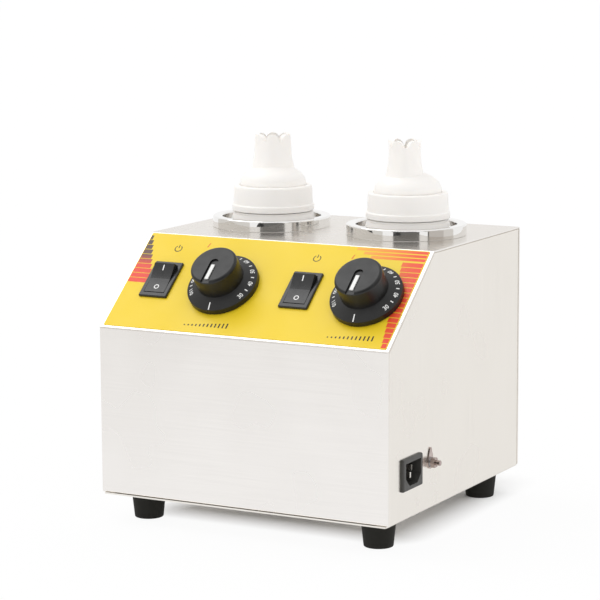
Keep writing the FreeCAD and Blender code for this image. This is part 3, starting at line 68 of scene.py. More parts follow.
def camera_turn(yaw, pitch, roll):
    ahead = Vector((-math.sin(yaw) * math.cos(pitch), math.cos(yaw) * math.cos(pitch), -math.sin(pitch)))
    level = Vector((math.cos(yaw), math.sin(yaw), 0))
    upright = level.cross(ahead)
    rightwards = level * math.cos(roll) + upright * math.sin(roll)
    upwards = upright * math.cos(roll) - level * math.sin(roll)
    return Matrix((rightwards, upwards, -ahead)).transposed()


camera = bpy.data.objects.new("camera", bpy.data.cameras.new("camera"))
camera.data.lens = LENS
camera.data.sensor_width = SENSOR
camera.matrix_world = Matrix.Translation(CAMERA_PLACE) @ camera_turn(YAW, PITCH, ROLL).to_4x4()
bpy.context.collection.objects.link(camera)
bpy.context.scene.camera = camera
bpy.context.scene.view_settings.view_transform = "Standard"
print("camera", [round(value, 3) for value in camera.location])

# %% [markdown]
# ## Helpers for materials
#
# A colour is written as the hex value that a screen would show, and one function turns it to the linear light
# that the renderer counts in. Another adds a node of any kind: a lower-case word sets a choice on the node,
# and any other name or a number sets one of its inputs, either to a value or to another node's output.

# %% Colour and node helpers


def linear(hex_code):
    """The linear RGBA of an sRGB colour such as F2C94C."""
    parts = [int(hex_code[place:place + 2], 16) / 255 for place in (0, 2, 4)]
    light = [part / 12.92 if part <= 0.04045 else ((part + 0.055) / 1.055) ** 2.4 for part in parts]
    return (*light, 1.0)


def add_node(tree, kind, settings):
    node = tree.nodes.new(kind)
    for key, value in settings.items():
        if isinstance(key, str) and key[0].islower():
            setattr(node, key, value)
        elif isinstance(value, bpy.types.NodeSocket):
            tree.links.new(value, node.inputs[key])
        else:
            node.inputs[key].default_value = value
    return node


def new_material(name, colour, roughness, metallic=0.0, **more):
    """A material with its main shader and the point on the object that its patterns are drawn from."""
    material = bpy.data.materials.new(name)
    material.use_nodes = True
    tree = material.node_tree
    shader = tree.nodes["Principled BSDF"]
    shader.inputs["Base Color"].default_value = linear(colour)
    shader.inputs["Roughness"].default_value = roughness
    shader.inputs["Metallic"].default_value = metallic
    for key, value in more.items():
        shader.inputs[key.replace("_", " ")].default_value = value
    place = add_node(tree, "ShaderNodeTexCoord", {})
    return material, tree, shader, place.outputs["Object"]


print("white is", linear("FFFFFF"))

# %% [markdown]
# Most finishes need the same two things from their maker's process: a surface that is not equally rough all
# over, and a fine relief. Noise does both. Its scale comes from the size of one blotch or grain in
# millimetres, and stretching the point before the noise reads it turns grain into brush lines. Noise keeps to
# the middle of its range, so a pattern is spread from there to the two ends that a finish asks for.

# %% Patterns shared by the finishes
NOISE_LOW, NOISE_HIGH = 0.35, 0.65
MIX_FIRST_COLOUR, MIX_SECOND_COLOUR, MIX_RESULT_COLOUR = 6, 7, 2


def noise(tree, point, grain_mm, stretch=(1, 1, 1), detail=2.0, distortion=0.0):
    """Noise whose blotches are about a number of millimetres wide, longer along a stretched axis."""
    scaled = add_node(tree, "ShaderNodeMapping", {
        "Vector": point, "Scale": [1 / (grain_mm * MM * factor) for factor in stretch]})
    made = add_node(tree, "ShaderNodeTexNoise", {
        "Vector": scaled.outputs["Vector"], "Scale": 1.0, "Detail": detail, "Distortion": distortion})
    return made.outputs["Fac"]


def relief(tree, shader, height, depth_mm, strength):
    """Bump from a height pattern of a real depth."""
    made = add_node(tree, "ShaderNodeBump", {
        "Height": height, "Distance": depth_mm * MM, "Strength": strength})
    tree.links.new(made.outputs["Normal"], shader.inputs["Normal"])


def vary_roughness(tree, shader, pattern, low, high):
    spread = add_node(tree, "ShaderNodeMapRange", {
        "Value": pattern, "From Min": NOISE_LOW, "From Max": NOISE_HIGH, "To Min": low, "To Max": high})
    tree.links.new(spread.outputs["Result"], shader.inputs["Roughness"])


def tint(tree, shader, pattern, first, second, start=NOISE_LOW, end=NOISE_HIGH):
    """Base colour that runs from one colour to another with a pattern."""
    share = add_node(tree, "ShaderNodeMapRange", {"Value": pattern, "From Min": start, "From Max": end})
    made = add_node(tree, "ShaderNodeMix", {
        "data_type": "RGBA", "Factor": share.outputs["Result"],
        MIX_FIRST_COLOUR: linear(first), MIX_SECOND_COLOUR: linear(second)})
    tree.links.new(made.outputs[MIX_RESULT_COLOUR], shader.inputs["Base Color"])


finishes = {}
print("noise is read between", NOISE_LOW, "and", NOISE_HIGH)

# %% [markdown]
# ## Steel
#
# The case is folded from brushed stainless steel. The belt that brushed it ran along the sheet, so its lines
# run to the left and right. Real lines are a twentieth of a millimetre wide, far too fine for this view, so
# faint streaks a millimetre wide stand for them. Wiping leaves broad patches that are a little smoother than
# their surroundings, and those patches are what the eye takes for metal. The tray is bent from another sheet,
# brushed upwards and a shade darker. The specular tint holds back the glare at a flat angle.

# %% Brushed, polished and drawn stainless steel
BELT_ALONG_X = (80, 1, 1)
BELT_ALONG_Z = (1, 1, 80)


def brushed_steel(name, colour, second, belt):
    """Broad wiped patches, and streaks that are stretched along the way that the belt ran."""
    material, tree, shader, point = new_material(
        name, colour, roughness=0.24, metallic=1.0, Specular_Tint=linear("F0EEEB"))
    vary_roughness(tree, shader, noise(tree, point, grain_mm=60), low=0.22, high=0.28)
    tint(tree, shader, noise(tree, point, grain_mm=1.2, stretch=belt), colour, second)
    return material


def polished_steel():
    """Turned and buffed rings: nearly a mirror, with faint rings of the buffing wheel."""
    material, tree, shader, point = new_material(
        "polished_stainless_steel", "EDECEA", roughness=0.05, metallic=1.0)
    vary_roughness(tree, shader, noise(tree, point, grain_mm=12, detail=4), low=0.02, high=0.05)
    wheel_rings = noise(tree, point, grain_mm=0.6, stretch=(8, 8, 1))
    relief(tree, shader, wheel_rings, depth_mm=0.001, strength=0.1)
    return material


def drawn_steel():
    """Drawing lines down the wall of a cup, and a dull skin that scatters light to its floor."""
    material, tree, shader, point = new_material(
        "drawn_stainless_steel", "E9E4E0", roughness=0.4, metallic=0.5)
    dull_lines = noise(tree, point, grain_mm=1.2, stretch=(1, 1, 30), detail=3)
    vary_roughness(tree, shader, dull_lines, low=0.35, high=0.45)
    relief(tree, shader, noise(tree, point, grain_mm=0.8, stretch=(1, 1, 40)), depth_mm=0.003, strength=0.2)
    return material


finishes["cover"] = brushed_steel("brushed_stainless_cover", "F3F0ED", "F1EEEB", BELT_ALONG_X)
finishes["base_tray"] = brushed_steel("brushed_stainless_tray", "EFEBE5", "EDE9E3", BELT_ALONG_Z)
finishes["collar"] = polished_steel()
finishes["heating_well"] = drawn_steel()
print("steel:", finishes["cover"].name, finishes["collar"].name, finishes["heating_well"].name)

# %% [markdown]
# ## Printed film
#
# The control panel is a sheet of polycarbonate film, printed on its back and stuck to the slant. The print is
# a warm yellow, seen through a satin face with the slight orange peel of stuck film. The bolder printing is
# made as thin ink pieces further on, so that its edges stay sharp.

# %% Printed polycarbonate film


def printed_film():
    material, tree, shader, point = new_material(
        "printed_polycarbonate_film", "F4D428", roughness=0.42, IOR=1.45)
    tint(tree, shader, noise(tree, point, grain_mm=70), "F4D42C", "F4D222")
    vary_roughness(tree, shader, noise(tree, point, grain_mm=25, detail=3), low=0.36, high=0.46)
    relief(tree, shader, noise(tree, point, grain_mm=1.5), depth_mm=0.01, strength=0.25)
    return material


finishes["control_panel_label"] = printed_film()
print("film:", finishes["control_panel_label"].name)

# %% [markdown]
# ## Dark plastics and rubber
#
# Four dark materials lie side by side here, and mostly their surfaces tell them apart. The knobs are moulded
# in a spark-eroded tool, which leaves a fine even grain that scatters light to a dark grey. The switches are
# nylon from a polished tool, so they show the studio in soft streaks. The inlet is a glass-filled plastic and
# comes out a lighter grey. The feet are rubber: no gloss at all, a warm black, and dust on what faces up.

# %% Moulded plastics and rubber


def grained_plastic():
    material, tree, shader, point = new_material("grained_abs", "131313", roughness=0.34, IOR=1.46)
    vary_roughness(tree, shader, noise(tree, point, grain_mm=9, detail=3), low=0.3, high=0.4)
    tint(tree, shader, noise(tree, point, grain_mm=14), "121212", "171717")
    relief(tree, shader, noise(tree, point, grain_mm=0.35, detail=1), depth_mm=0.01, strength=0.25)
    return material


def inlet_plastic():
    material, tree, shader, point = new_material("grey_polyamide", "3E3D3A", roughness=0.45, IOR=1.53)
    vary_roughness(tree, shader, noise(tree, point, grain_mm=6, detail=3), low=0.4, high=0.5)
    relief(tree, shader, noise(tree, point, grain_mm=0.5), depth_mm=0.01, strength=0.25)
    return material


def glossy_nylon():
    material, tree, shader, point = new_material("glossy_nylon", "19191A", roughness=0.22, IOR=1.53)
    vary_roughness(tree, shader, noise(tree, point, grain_mm=6, detail=4), low=0.18, high=0.3)
    relief(tree, shader, noise(tree, point, grain_mm=2.5), depth_mm=0.01, strength=0.2)
    return material


def foot_rubber():
    material, tree, shader, point = new_material("nitrile_rubber", "1E1D18", roughness=0.8, IOR=1.4)
    facing = add_node(tree, "ShaderNodeSeparateXYZ", {
        "Vector": add_node(tree, "ShaderNodeNewGeometry", {}).outputs["Normal"]})
    dust = add_node(tree, "ShaderNodeMath", {
        "operation": "MULTIPLY", 0: noise(tree, point, grain_mm=3, detail=4), 1: facing.outputs["Z"]})
    tint(tree, shader, dust.outputs[0], "1D1C17", "2E2C26", start=0.1, end=0.5)
    relief(tree, shader, noise(tree, point, grain_mm=0.6, detail=3), depth_mm=0.03, strength=0.4)
    return material


finishes["knob"] = grained_plastic()
finishes["rocker"] = finishes["rocker_housing"] = glossy_nylon()
finishes["inlet_housing"] = inlet_plastic()
finishes["foot"] = foot_rubber()
print("dark:", [finishes[name].name for name in ("knob", "rocker", "inlet_housing", "foot")])

# %% [markdown]
# ## Squeeze bottles
#
# Bottle, ring and nozzle are low-density polyethylene. It is not white but milky: light enters, scatters for
# a few millimetres and comes out again, which softens every edge. Subsurface scattering gives that. Blow
# moulding leaves the bottle wavier than the injection-moulded closure. The gasket between them is silicone,
# dull and slightly yellow.

# %% Polyethylene and silicone


def polyethylene(name, colour, wave_mm, wave_depth_mm):
    material, tree, shader, point = new_material(
        name, colour, roughness=0.38, IOR=1.51, Subsurface_Weight=0.2, Subsurface_Radius=(1.0, 0.9, 0.8),
        Subsurface_Scale=0.002)
    vary_roughness(tree, shader, noise(tree, point, grain_mm=10, detail=3), low=0.33, high=0.45)
    relief(tree, shader, noise(tree, point, grain_mm=wave_mm, detail=1), wave_depth_mm, strength=0.3)
    return material


def silicone():
    material, tree, shader, point = new_material("silicone_rubber", "D9D6CE", roughness=0.5, IOR=1.42)
    vary_roughness(tree, shader, noise(tree, point, grain_mm=4), low=0.45, high=0.6)
    relief(tree, shader, noise(tree, point, grain_mm=1.0), depth_mm=0.01, strength=0.3)
    return material


finishes["bottle"] = polyethylene("blown_polyethylene", "FEFAF5", wave_mm=9, wave_depth_mm=0.12)
finishes["nozzle"] = polyethylene("moulded_polyethylene", "FFFBF6", wave_mm=5, wave_depth_mm=0.03)
finishes["screw_ring"] = finishes["nozzle"]
finishes["gasket"] = silicone()
print("bottles:", finishes["bottle"].name, finishes["nozzle"].name)

# %% [markdown]
# ## Small metal parts
#
# Screws are zinc plated, which is a cool grey with a slight blotch. The earthing point joins a stud and a nut
# of nickel-plated brass, both faintly warm, to a tinned tag. The sensors are drawn copper, the cut-outs are
# pressed aluminium, and the bare steel of the heaters has gone straw brown with heat. They all share one
# recipe: a metal colour, a blotch that changes its roughness, and turning lines or stamping marks as relief.
# Each line of the table gives the parts that share a finish, its name, its two colours, its roughness and the
# size of its marks in millimetres.

# %% Small metal parts
SMOOTHER, ROUGHER = 0.07, 0.1
TURNED_ROUND_Z = (6, 6, 1)
WOUND_ROUND_Z = (8, 8, 1)


def small_metal(name, colour, second, roughness, grain_mm, stretch=(1, 1, 1)):
    material, tree, shader, point = new_material(name, colour, roughness, metallic=1.0)
    blotches = noise(tree, point, grain_mm=2.5, detail=4)
    vary_roughness(tree, shader, blotches, roughness - SMOOTHER, roughness + ROUGHER)
    tint(tree, shader, noise(tree, point, grain_mm=3, detail=3), colour, second)
    relief(tree, shader, noise(tree, point, grain_mm, stretch), depth_mm=0.01, strength=0.3)
    return material


screws = ("cover_screws", "foot_screws", "foot_nuts", "collar_screws", "thermostat_screws",
          "terminal_screws", "earth_washer")
small_metals = [
    (screws, "zinc_plated_steel", "B9BABB", "A9ABAE", 0.3, 0.5),
    (("earth_stud", "earth_nut"), "nickel_plated_brass", "B9ABA6", "A08F89", 0.2, 0.34),
    (("earth_tag",), "tinned_copper", "C6B8B3", "AD9E98", 0.25, 0.45),
    (("inlet_pins",), "nickel_plated_pin", "EDEAE5", "DAD6CE", 0.35, 0.5),
    (("thermostat_shaft",), "turned_steel", "A8A9AB", "98999C", 0.3, 0.3, TURNED_ROUND_Z),
    (("thermal_cutout",), "pressed_aluminium", "C2C4C7", "B3B6BA", 0.35, 0.8),
    (("sensor",), "drawn_copper", "C98A62", "A86B48", 0.32, 0.5),
    (("thermostat",), "stamped_steel", "A6A6A2", "8F908D", 0.36, 0.7),
    (("band_heater",), "heat_tinted_steel", "8C8478", "6E6250", 0.42, 1.2, WOUND_ROUND_Z),
]
for parts, *recipe in small_metals:
    finishes.update(dict.fromkeys(parts, small_metal(*recipe)))
print(len(small_metals), "small metals")

# %% [markdown]
# ## Inside the case
#
# The sleeves round the heaters are mineral wool, a mat of fibres in tan and cream. The terminal block is
# steatite, an unglazed ceramic, and the leads are sheathed in silicone. The white bar in each knob takes the
# same recipe, with hardly any relief.

# %% Wool, ceramic, leads and the white inlay


def soft_stuff(name, colour, second, roughness, grain_mm, depth_mm, stretch=(1, 1, 1)):
    material, tree, shader, point = new_material(name, colour, roughness)
    fibres = noise(tree, point, grain_mm, stretch, detail=5, distortion=0.8)
    tint(tree, shader, fibres, colour, second)
    relief(tree, shader, fibres, depth_mm, strength=0.6)
    return material


finishes["insulation"] = soft_stuff(
    "mineral_wool", "C9BC95", "A8946A", roughness=0.95, grain_mm=1.5, depth_mm=0.6, stretch=(5, 5, 1))
finishes["terminal_block"] = soft_stuff(
    "steatite", "E2DED2", "D5CFBF", roughness=0.6, grain_mm=1.2, depth_mm=0.03)
finishes["wiring"] = soft_stuff(
    "lead_sheath", "C9C3B6", "B7B0A2", roughness=0.5, grain_mm=3, depth_mm=0.02)
finishes["pointer"] = soft_stuff(
    "white_acrylic", "F1F1EF", "E7E7E4", roughness=0.35, grain_mm=4, depth_mm=0.01)
print("finishes:", len(set(finishes.values())))

# %% [markdown]
# ## Dressing the measured parts
#
# A part takes the finish of its own name, or of its name without left and right. The four feet have two such
# words, so they are told by how their names begin.

# %% A finish for every part


def kind_of(name):
    if name in finishes:
        return name
    return "foot" if name.startswith("foot_") else name.rsplit("_", 1)[0]


for name, piece in frame["nodes"].items():
    piece.data.materials.clear()
    piece.data.materials.append(finishes[kind_of(name)])
print(len(frame["nodes"]), "measured parts have their finish")

# %% [markdown]
# ## Places on the panel
#
# Everything printed lies on the slanted panel, so it helps to think in the panel's own directions: across, up
# the slope, and out of the surface. The joints of the two knobs already hold the outward direction and a
# point on each axis. That point lies 47.3 mm up the slope from the panel's foot and 1.2 mm off the sheet, so
# the foot follows from it. The printed film adds 0.4 mm, and the ink lies just above. Lengths on the panel
# are in millimetres.

# %% The panel's own frame
KNOB_UP_SLOPE = 47.3
KNOB_OFF_PANEL = 1.2
LABEL_TOP = 0.4
INK_LIFT = 0.03

joints = {joint["name"]: joint for joint in frame["joints"]}
knob_axis = Vector(joints["knob_left_turn"]["axis"])
across = Vector((1, 0, 0))
up_slope = knob_axis.cross(across)
cover_low, cover_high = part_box("cover")
panel_foot = Vector(joints["knob_left_turn"]["pos_m"])
panel_foot -= (up_slope * KNOB_UP_SLOPE + knob_axis * KNOB_OFF_PANEL) * MM
panel_foot.x = (cover_low.x + cover_high.x) / 2


def panel_frame(origin, turn=0.0):
    """Places drawings made flat in X and Y on the panel, with their origin at a point, turned in degrees."""
    directions = Matrix((across, up_slope, knob_axis)).transposed().to_4x4()
    return Matrix.Translation(origin) @ directions @ Matrix.Rotation(math.radians(turn), 4, "Z")


def on_label(x_mm, up_mm):
    return panel_foot + (across * x_mm + up_slope * up_mm + knob_axis * (LABEL_TOP + INK_LIFT)) * MM


print("the panel starts at", [round(value / MM, 1) for value in panel_foot], "mm")

# %% [markdown]
# Ink pieces are thin meshes. The flat ones are simply put in place. Those on a cone or a curved rocker are
# first held above it and then dropped: a ray from every vertex finds the surface below, and the vertex
# settles a hair above it. That is how a pad printer lays ink on a dial.

# %% Making and settling ink
DROP_HEIGHT = 30


def new_piece(name, mesh, material, body):
    piece = bpy.data.objects.new(name, mesh)
    bpy.context.collection.objects.link(piece)
    mesh.materials.clear()
    mesh.materials.append(material)
    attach(piece, body)


def settle(mesh, node):
    """Drops every vertex onto a measured part, against the outward direction of the panel."""
    part = frame["nodes"][node].data
    surface = BVHTree.FromPolygons([vertex.co for vertex in part.vertices],
                                   [face.vertices for face in part.polygons])
    for vertex in mesh.vertices:
        hit = surface.ray_cast(vertex.co + knob_axis * DROP_HEIGHT * MM, -knob_axis)[0]
        vertex.co = hit + knob_axis * INK_LIFT * MM


print("ink lies", INK_LIFT, "mm above its surface")

# %% [markdown]
# Screen-printing ink is even in colour, with pinholes and a slight grain. A pad prints the same kind of ink
# on the dials and the rockers.

# %% Inks of one colour


def ink(name, colour, low=0.39, high=0.55):
    """Even ink whose roughness lies between two values."""
    material, tree, shader, point = new_material(name, colour, roughness=0.45)
    vary_roughness(tree, shader, noise(tree, point, grain_mm=1.5, detail=3), low, high)
    relief(tree, shader, noise(tree, point, grain_mm=0.4), depth_mm=0.005, strength=0.3)
    return material


white_ink = ink("white_pad_ink", "F4F4F2")
black_ink = ink("black_screen_ink", "1D1C1A")
red_ink = ink("red_screen_ink", "E2412B")
print("inks:", white_ink.name, black_ink.name, red_ink.name)

# %% [markdown]
# ## Dial marks
#
# The skirt of each knob carries a scale. The lines between its numbers repeat round the axis, so Geometry
# Nodes make them: one small grid is instanced on as many points as there are lines, each copy is turned by
# its index, and then pushed out along its own turned axis. The grid has a few vertices each way, so that a
# line can follow the cone.

# %% A node tree for marks round an axis
VERTICES_ALONG = 7
VERTICES_ACROSS = 3


def node_group(name, inputs):
    group = bpy.data.node_groups.new(name, "GeometryNodeTree")
    for label, kind in inputs:
        group.interface.new_socket(label, in_out="INPUT", socket_type=kind)
    group.interface.new_socket("Geometry", in_out="OUTPUT", socket_type="NodeSocketGeometry")
    return group, add_node(group, "NodeGroupInput", {}).outputs


def hand_out(group, instances, material):
    """Ends a tree: real copies, with their ink on."""
    real = add_node(group, "GeometryNodeRealizeInstances", {"Geometry": instances})
    inked = add_node(group, "GeometryNodeSetMaterial", {"Geometry": real.outputs[0], "Material": material})
    add_node(group, "NodeGroupOutput", {"Geometry": inked.outputs[0]})


def marks_round_axis():
    group, wanted = node_group("marks_round_axis", [
        ("Count", "NodeSocketInt"), ("First Turn", "NodeSocketFloat"), ("Turn Step", "NodeSocketFloat"),
        ("Radius", "NodeSocketFloat"), ("Length", "NodeSocketFloat"), ("Width", "NodeSocketFloat"),
        ("Ink", "NodeSocketMaterial")])
    points = add_node(group, "GeometryNodeMeshLine", {"Count": wanted["Count"], "Offset": (0, 0, 0)})
    mark = add_node(group, "GeometryNodeMeshGrid", {
        "Size X": wanted["Length"], "Size Y": wanted["Width"],
        "Vertices X": VERTICES_ALONG, "Vertices Y": VERTICES_ACROSS})
    index = add_node(group, "GeometryNodeInputIndex", {})
    turn = add_node(group, "ShaderNodeMath", {
        "operation": "MULTIPLY_ADD", 0: index.outputs[0], 1: wanted["Turn Step"], 2: wanted["First Turn"]})
    rotation = add_node(group, "ShaderNodeCombineXYZ", {"Z": turn.outputs[0]})
    placed = add_node(group, "GeometryNodeInstanceOnPoints", {
        "Points": points.outputs["Mesh"], "Instance": mark.outputs["Mesh"], "Rotation": rotation.outputs[0]})
    outwards = add_node(group, "ShaderNodeCombineXYZ", {"X": wanted["Radius"]})
    pushed = add_node(group, "GeometryNodeTranslateInstances", {
        "Instances": placed.outputs[0], "Translation": outwards.outputs[0]})
    hand_out(group, pushed.outputs[0], wanted["Ink"])
    return group


def grown(group, name, values):
    """The plain mesh that a node tree makes from its named inputs."""
    holder = bpy.data.objects.new(name, bpy.data.meshes.new(name))
    bpy.context.collection.objects.link(holder)
    modifier = holder.modifiers.new("growth", "NODES")
    modifier.node_group = group
    for socket in group.interface.items_tree:
        if socket.in_out == "INPUT":
            modifier[socket.identifier] = values[socket.name]
    evaluated = holder.evaluated_get(bpy.context.evaluated_depsgraph_get())
    mesh = bpy.data.meshes.new_from_object(evaluated)
    bpy.data.objects.remove(holder)
    return mesh


round_marks = marks_round_axis()
print("tree", round_marks.name, "has", len(round_marks.nodes), "nodes")

# %% [markdown]
# A dial of this kind is read below the knob, where its long line stands while the heater is off. The knob
# turns 300 degrees to the right. The numbers follow the line 60 degrees behind it, 30 degrees apart and
# rising to the left, so that the last one arrives at the end of the travel. A short line stands between each
# two.
#
# The lines are counted in degrees from the X axis, to the left, and the first number in degrees from the top,
# to the right.

# %% Lines and numbers on the skirts
TOP = 90
NUMBERS = range(30, 111, 10)
NUMBER_STEP = 30
FIRST_NUMBER = 120
NUMBER_RADIUS = 24.3
NUMBER_HEIGHT = 3.0
DIGIT_SHARE = 0.7
BOLDER_BY = 0.06
LINE_WIDTH = 0.9
SHORT_LINE = 2.2
LONG_LINE = 5.4
LONG_LINE_RADIUS = 24.2


def number_mesh(value):
    """The mesh of a number, its middle at the origin. A digit fills a share of the letter's size."""
    curve = bpy.data.curves.new("number", "FONT")
    curve.body = str(value)
    curve.size = NUMBER_HEIGHT * MM / DIGIT_SHARE
    curve.align_x = curve.align_y = "CENTER"
    curve.offset = BOLDER_BY * MM
    holder = bpy.data.objects.new("number", curve)
    mesh = bpy.data.meshes.new_from_object(holder)
    bpy.data.objects.remove(holder)
    return mesh


def joined(name, meshes):
    """One mesh from several."""
    shape = bmesh.new()
    for mesh in meshes:
        shape.from_mesh(mesh)
    whole = bpy.data.meshes.new(name)
    shape.to_mesh(whole)
    shape.free()
    return whole


def dial_lines(count, first_turn, radius_mm, length_mm):
    return grown(round_marks, "dial_lines", {
        "Count": count, "First Turn": math.radians(first_turn), "Turn Step": math.radians(NUMBER_STEP),
        "Radius": radius_mm * MM, "Length": length_mm * MM, "Width": LINE_WIDTH * MM, "Ink": white_ink})


def all_lines():
    between = TOP - FIRST_NUMBER + NUMBER_STEP / 2
    return joined("dial_lines", [
        dial_lines(len(NUMBERS) - 1, between, NUMBER_RADIUS, SHORT_LINE),
        dial_lines(1, -TOP, LONG_LINE_RADIUS, LONG_LINE)])


def all_numbers():
    """The numbers round the axis, with their feet outwards."""
    outwards = Matrix.Translation((0, NUMBER_RADIUS * MM, 0)) @ Matrix.Rotation(math.pi, 4, "Z")
    numbers = [number_mesh(value) for value in NUMBERS]
    for index, number in enumerate(numbers):
        turn = math.radians(NUMBER_STEP * index - FIRST_NUMBER)
        number.transform(Matrix.Rotation(turn, 4, "Z") @ outwards)
    return joined("dial_numbers", numbers)


for side in ("left", "right"):
    dial = panel_frame(Vector(joints[f"knob_{side}_turn"]["pos_m"]))
    for kind, mesh in (("dial_lines", all_lines()), ("dial_numbers", all_numbers())):
        mesh.transform(dial)
        settle(mesh, f"knob_{side}")
        new_piece(f"{kind}_{side}", mesh, white_ink, f"knob_{side}")
        print(f"{kind}_{side}:", len(mesh.polygons), "faces")

# %% [markdown]
# ## Switch marks
#
# A rocker carries a line at the end that turns it on and a ring at the end that turns it off. Both are filled
# grooves, painted white, and they follow the hollow of the rocker's face. The line is cut in slices for that,
# as the ring is.

# %% Line and ring on the rockers
MARK_REACH = 8.2
MARK_HALF = 2.1
MARK_HOLE = 1.35
MARK_LINE_HALF = 0.45
LINE_SLICES = 7
ARC_STEPS = 40


def flat_mesh(name, outlines):
    """A mesh of flat faces, each given by its corners in millimetres, all facing up."""
    mesh = bpy.data.meshes.new(name)
    shape = bmesh.new()
    for outline in outlines:
        face = shape.faces.new([shape.verts.new((x * MM, y * MM, 0)) for x, y in outline])
        face.normal_update()
        if face.normal.z < 0:
            face.normal_flip()
    shape.to_mesh(mesh)
    shape.free()
    return mesh


def upright_bar(half_width, low, high):
    """The corners of a bar on the middle line."""
    return [(-half_width, low), (half_width, low), (half_width, high), (-half_width, high)]


def ring_arc(inner, outer, start, end):
    """Quads along a ring, between two angles in degrees."""
    turns = [math.radians(start + (end - start) * step / ARC_STEPS) for step in range(ARC_STEPS + 1)]
    return [[(radius * math.cos(turn), radius * math.sin(turn)) for radius, turn in
             ((inner, first), (outer, first), (outer, second), (inner, second))]
            for first, second in zip(turns, turns[1:])]


slice_length = 2 * MARK_HALF / LINE_SLICES
slice_starts = [slice_length * step - MARK_HALF for step in range(LINE_SLICES)]
line_slices = [upright_bar(MARK_LINE_HALF, start, start + slice_length) for start in slice_starts]

for side in ("left", "right"):
    pivot = Vector(joints[f"rocker_{side}_rock"]["pos_m"])
    line = flat_mesh("line", line_slices)
    line.transform(panel_frame(pivot + up_slope * MARK_REACH * MM))
    ring = flat_mesh("ring", ring_arc(MARK_HOLE, MARK_HALF, 0, 360))
    ring.transform(panel_frame(pivot - up_slope * MARK_REACH * MM))
    marks = joined("rocker_marks", [line, ring])
    settle(marks, f"rocker_{side}")
    new_piece(f"rocker_marks_{side}", marks, white_ink, f"rocker_{side}")
    print(side, "rocker:", len(marks.polygons), "faces")

# %% [markdown]
# ## Printing on the panel
#
# The two ends of the panel carry rows of bars that grow step by step, dark to red on the left and orange to
# red on the right, and a small rising scale stands under each knob. All of them are one idea, a row of bars
# between a first and a last length, so one node tree makes them all. It scales a unit square that stands on
# its corner point.

# %% A node tree for a row of growing bars


def growing_bars():
    group, wanted = node_group("growing_bars", [
        ("Count", "NodeSocketInt"), ("Pitch", "NodeSocketFloat"), ("Thickness", "NodeSocketFloat"),
        ("First Length", "NodeSocketFloat"), ("Last Length", "NodeSocketFloat"),
        ("Ink", "NodeSocketMaterial")])
    step = add_node(group, "ShaderNodeCombineXYZ", {"Y": wanted["Pitch"]})
    points = add_node(group, "GeometryNodeMeshLine", {"Count": wanted["Count"], "Offset": step.outputs[0]})
    square = add_node(group, "GeometryNodeMeshGrid", {
        "Size X": 1.0, "Size Y": 1.0, "Vertices X": 2, "Vertices Y": 2})
    from_corner = add_node(group, "GeometryNodeTransform", {
        "Geometry": square.outputs["Mesh"], "Translation": (0.5, 0.5, 0)})
    index = add_node(group, "GeometryNodeInputIndex", {})
    last = add_node(group, "ShaderNodeMath", {"operation": "SUBTRACT", 0: wanted["Count"], 1: 1})
    length = add_node(group, "ShaderNodeMapRange", {
        "Value": index.outputs[0], "From Min": 0.0, "From Max": last.outputs[0],
        "To Min": wanted["First Length"], "To Max": wanted["Last Length"]})
    size = add_node(group, "ShaderNodeCombineXYZ", {
        "X": length.outputs["Result"], "Y": wanted["Thickness"], "Z": 1.0})
    placed = add_node(group, "GeometryNodeInstanceOnPoints", {
        "Points": points.outputs["Mesh"], "Instance": from_corner.outputs[0], "Scale": size.outputs[0]})
    hand_out(group, placed.outputs[0], wanted["Ink"])
    return group


bars = growing_bars()
print("tree", bars.name, "has", len(bars.nodes), "nodes")

# %% [markdown]
# The bars on the left change from dark grey to red on their way down, and those on the right from orange to
# red towards the edge. A gradient along one direction of the object does both. Its stops are places in
# millimetres with their colours.

# %% Inks that change colour along the panel


def fill_ramp(ramp, stops):
    """Sets the stops of a colour ramp, each a share of its length and a colour."""
    marks = ramp.color_ramp.elements
    while len(marks) < len(stops):
        marks.new(0.5)
    for mark, (share, colour) in zip(marks, stops):
        mark.position = share
        mark.color = linear(colour)


def shaded_ink(name, direction, stops):
    """Ink whose colour follows a ramp along X or Z."""
    material = ink(name, stops[0][1], low=0.38, high=0.5)
    tree = material.node_tree
    point = add_node(tree, "ShaderNodeTexCoord", {}).outputs["Object"]
    parts = add_node(tree, "ShaderNodeSeparateXYZ", {"Vector": point})
    first, last = stops[0][0], stops[-1][0]
    share = add_node(tree, "ShaderNodeMapRange", {
        "Value": parts.outputs[direction], "From Min": first * MM, "From Max": last * MM})
    ramp = add_node(tree, "ShaderNodeValToRGB", {"Fac": share.outputs["Result"]})
    fill_ramp(ramp, [((place - first) / (last - first), colour) for place, colour in stops])
    tree.links.new(ramp.outputs["Color"], tree.nodes["Principled BSDF"].inputs["Base Color"])
    return material


left_ink = shaded_ink("grey_to_red_ink", "Z", [
    (178, "F04A35"), (190, "E84A38"), (197, "6B4A44"), (212, "454442")])
right_ink = shaded_ink("orange_to_red_ink", "X", [
    (45, "FDC23E"), (85, "F98A2E"), (104, "F2562C"), (118, "EE4230")])
print("changing inks:", left_ink.name, right_ink.name)

# %% [markdown]
# Each row is given by its name and ink, the place of its first corner on the label, its turn in degrees, and
# how its bars run: how many, how far apart, how thick, and the first and the last length. The two scales
# under the knobs are the same row in two places.

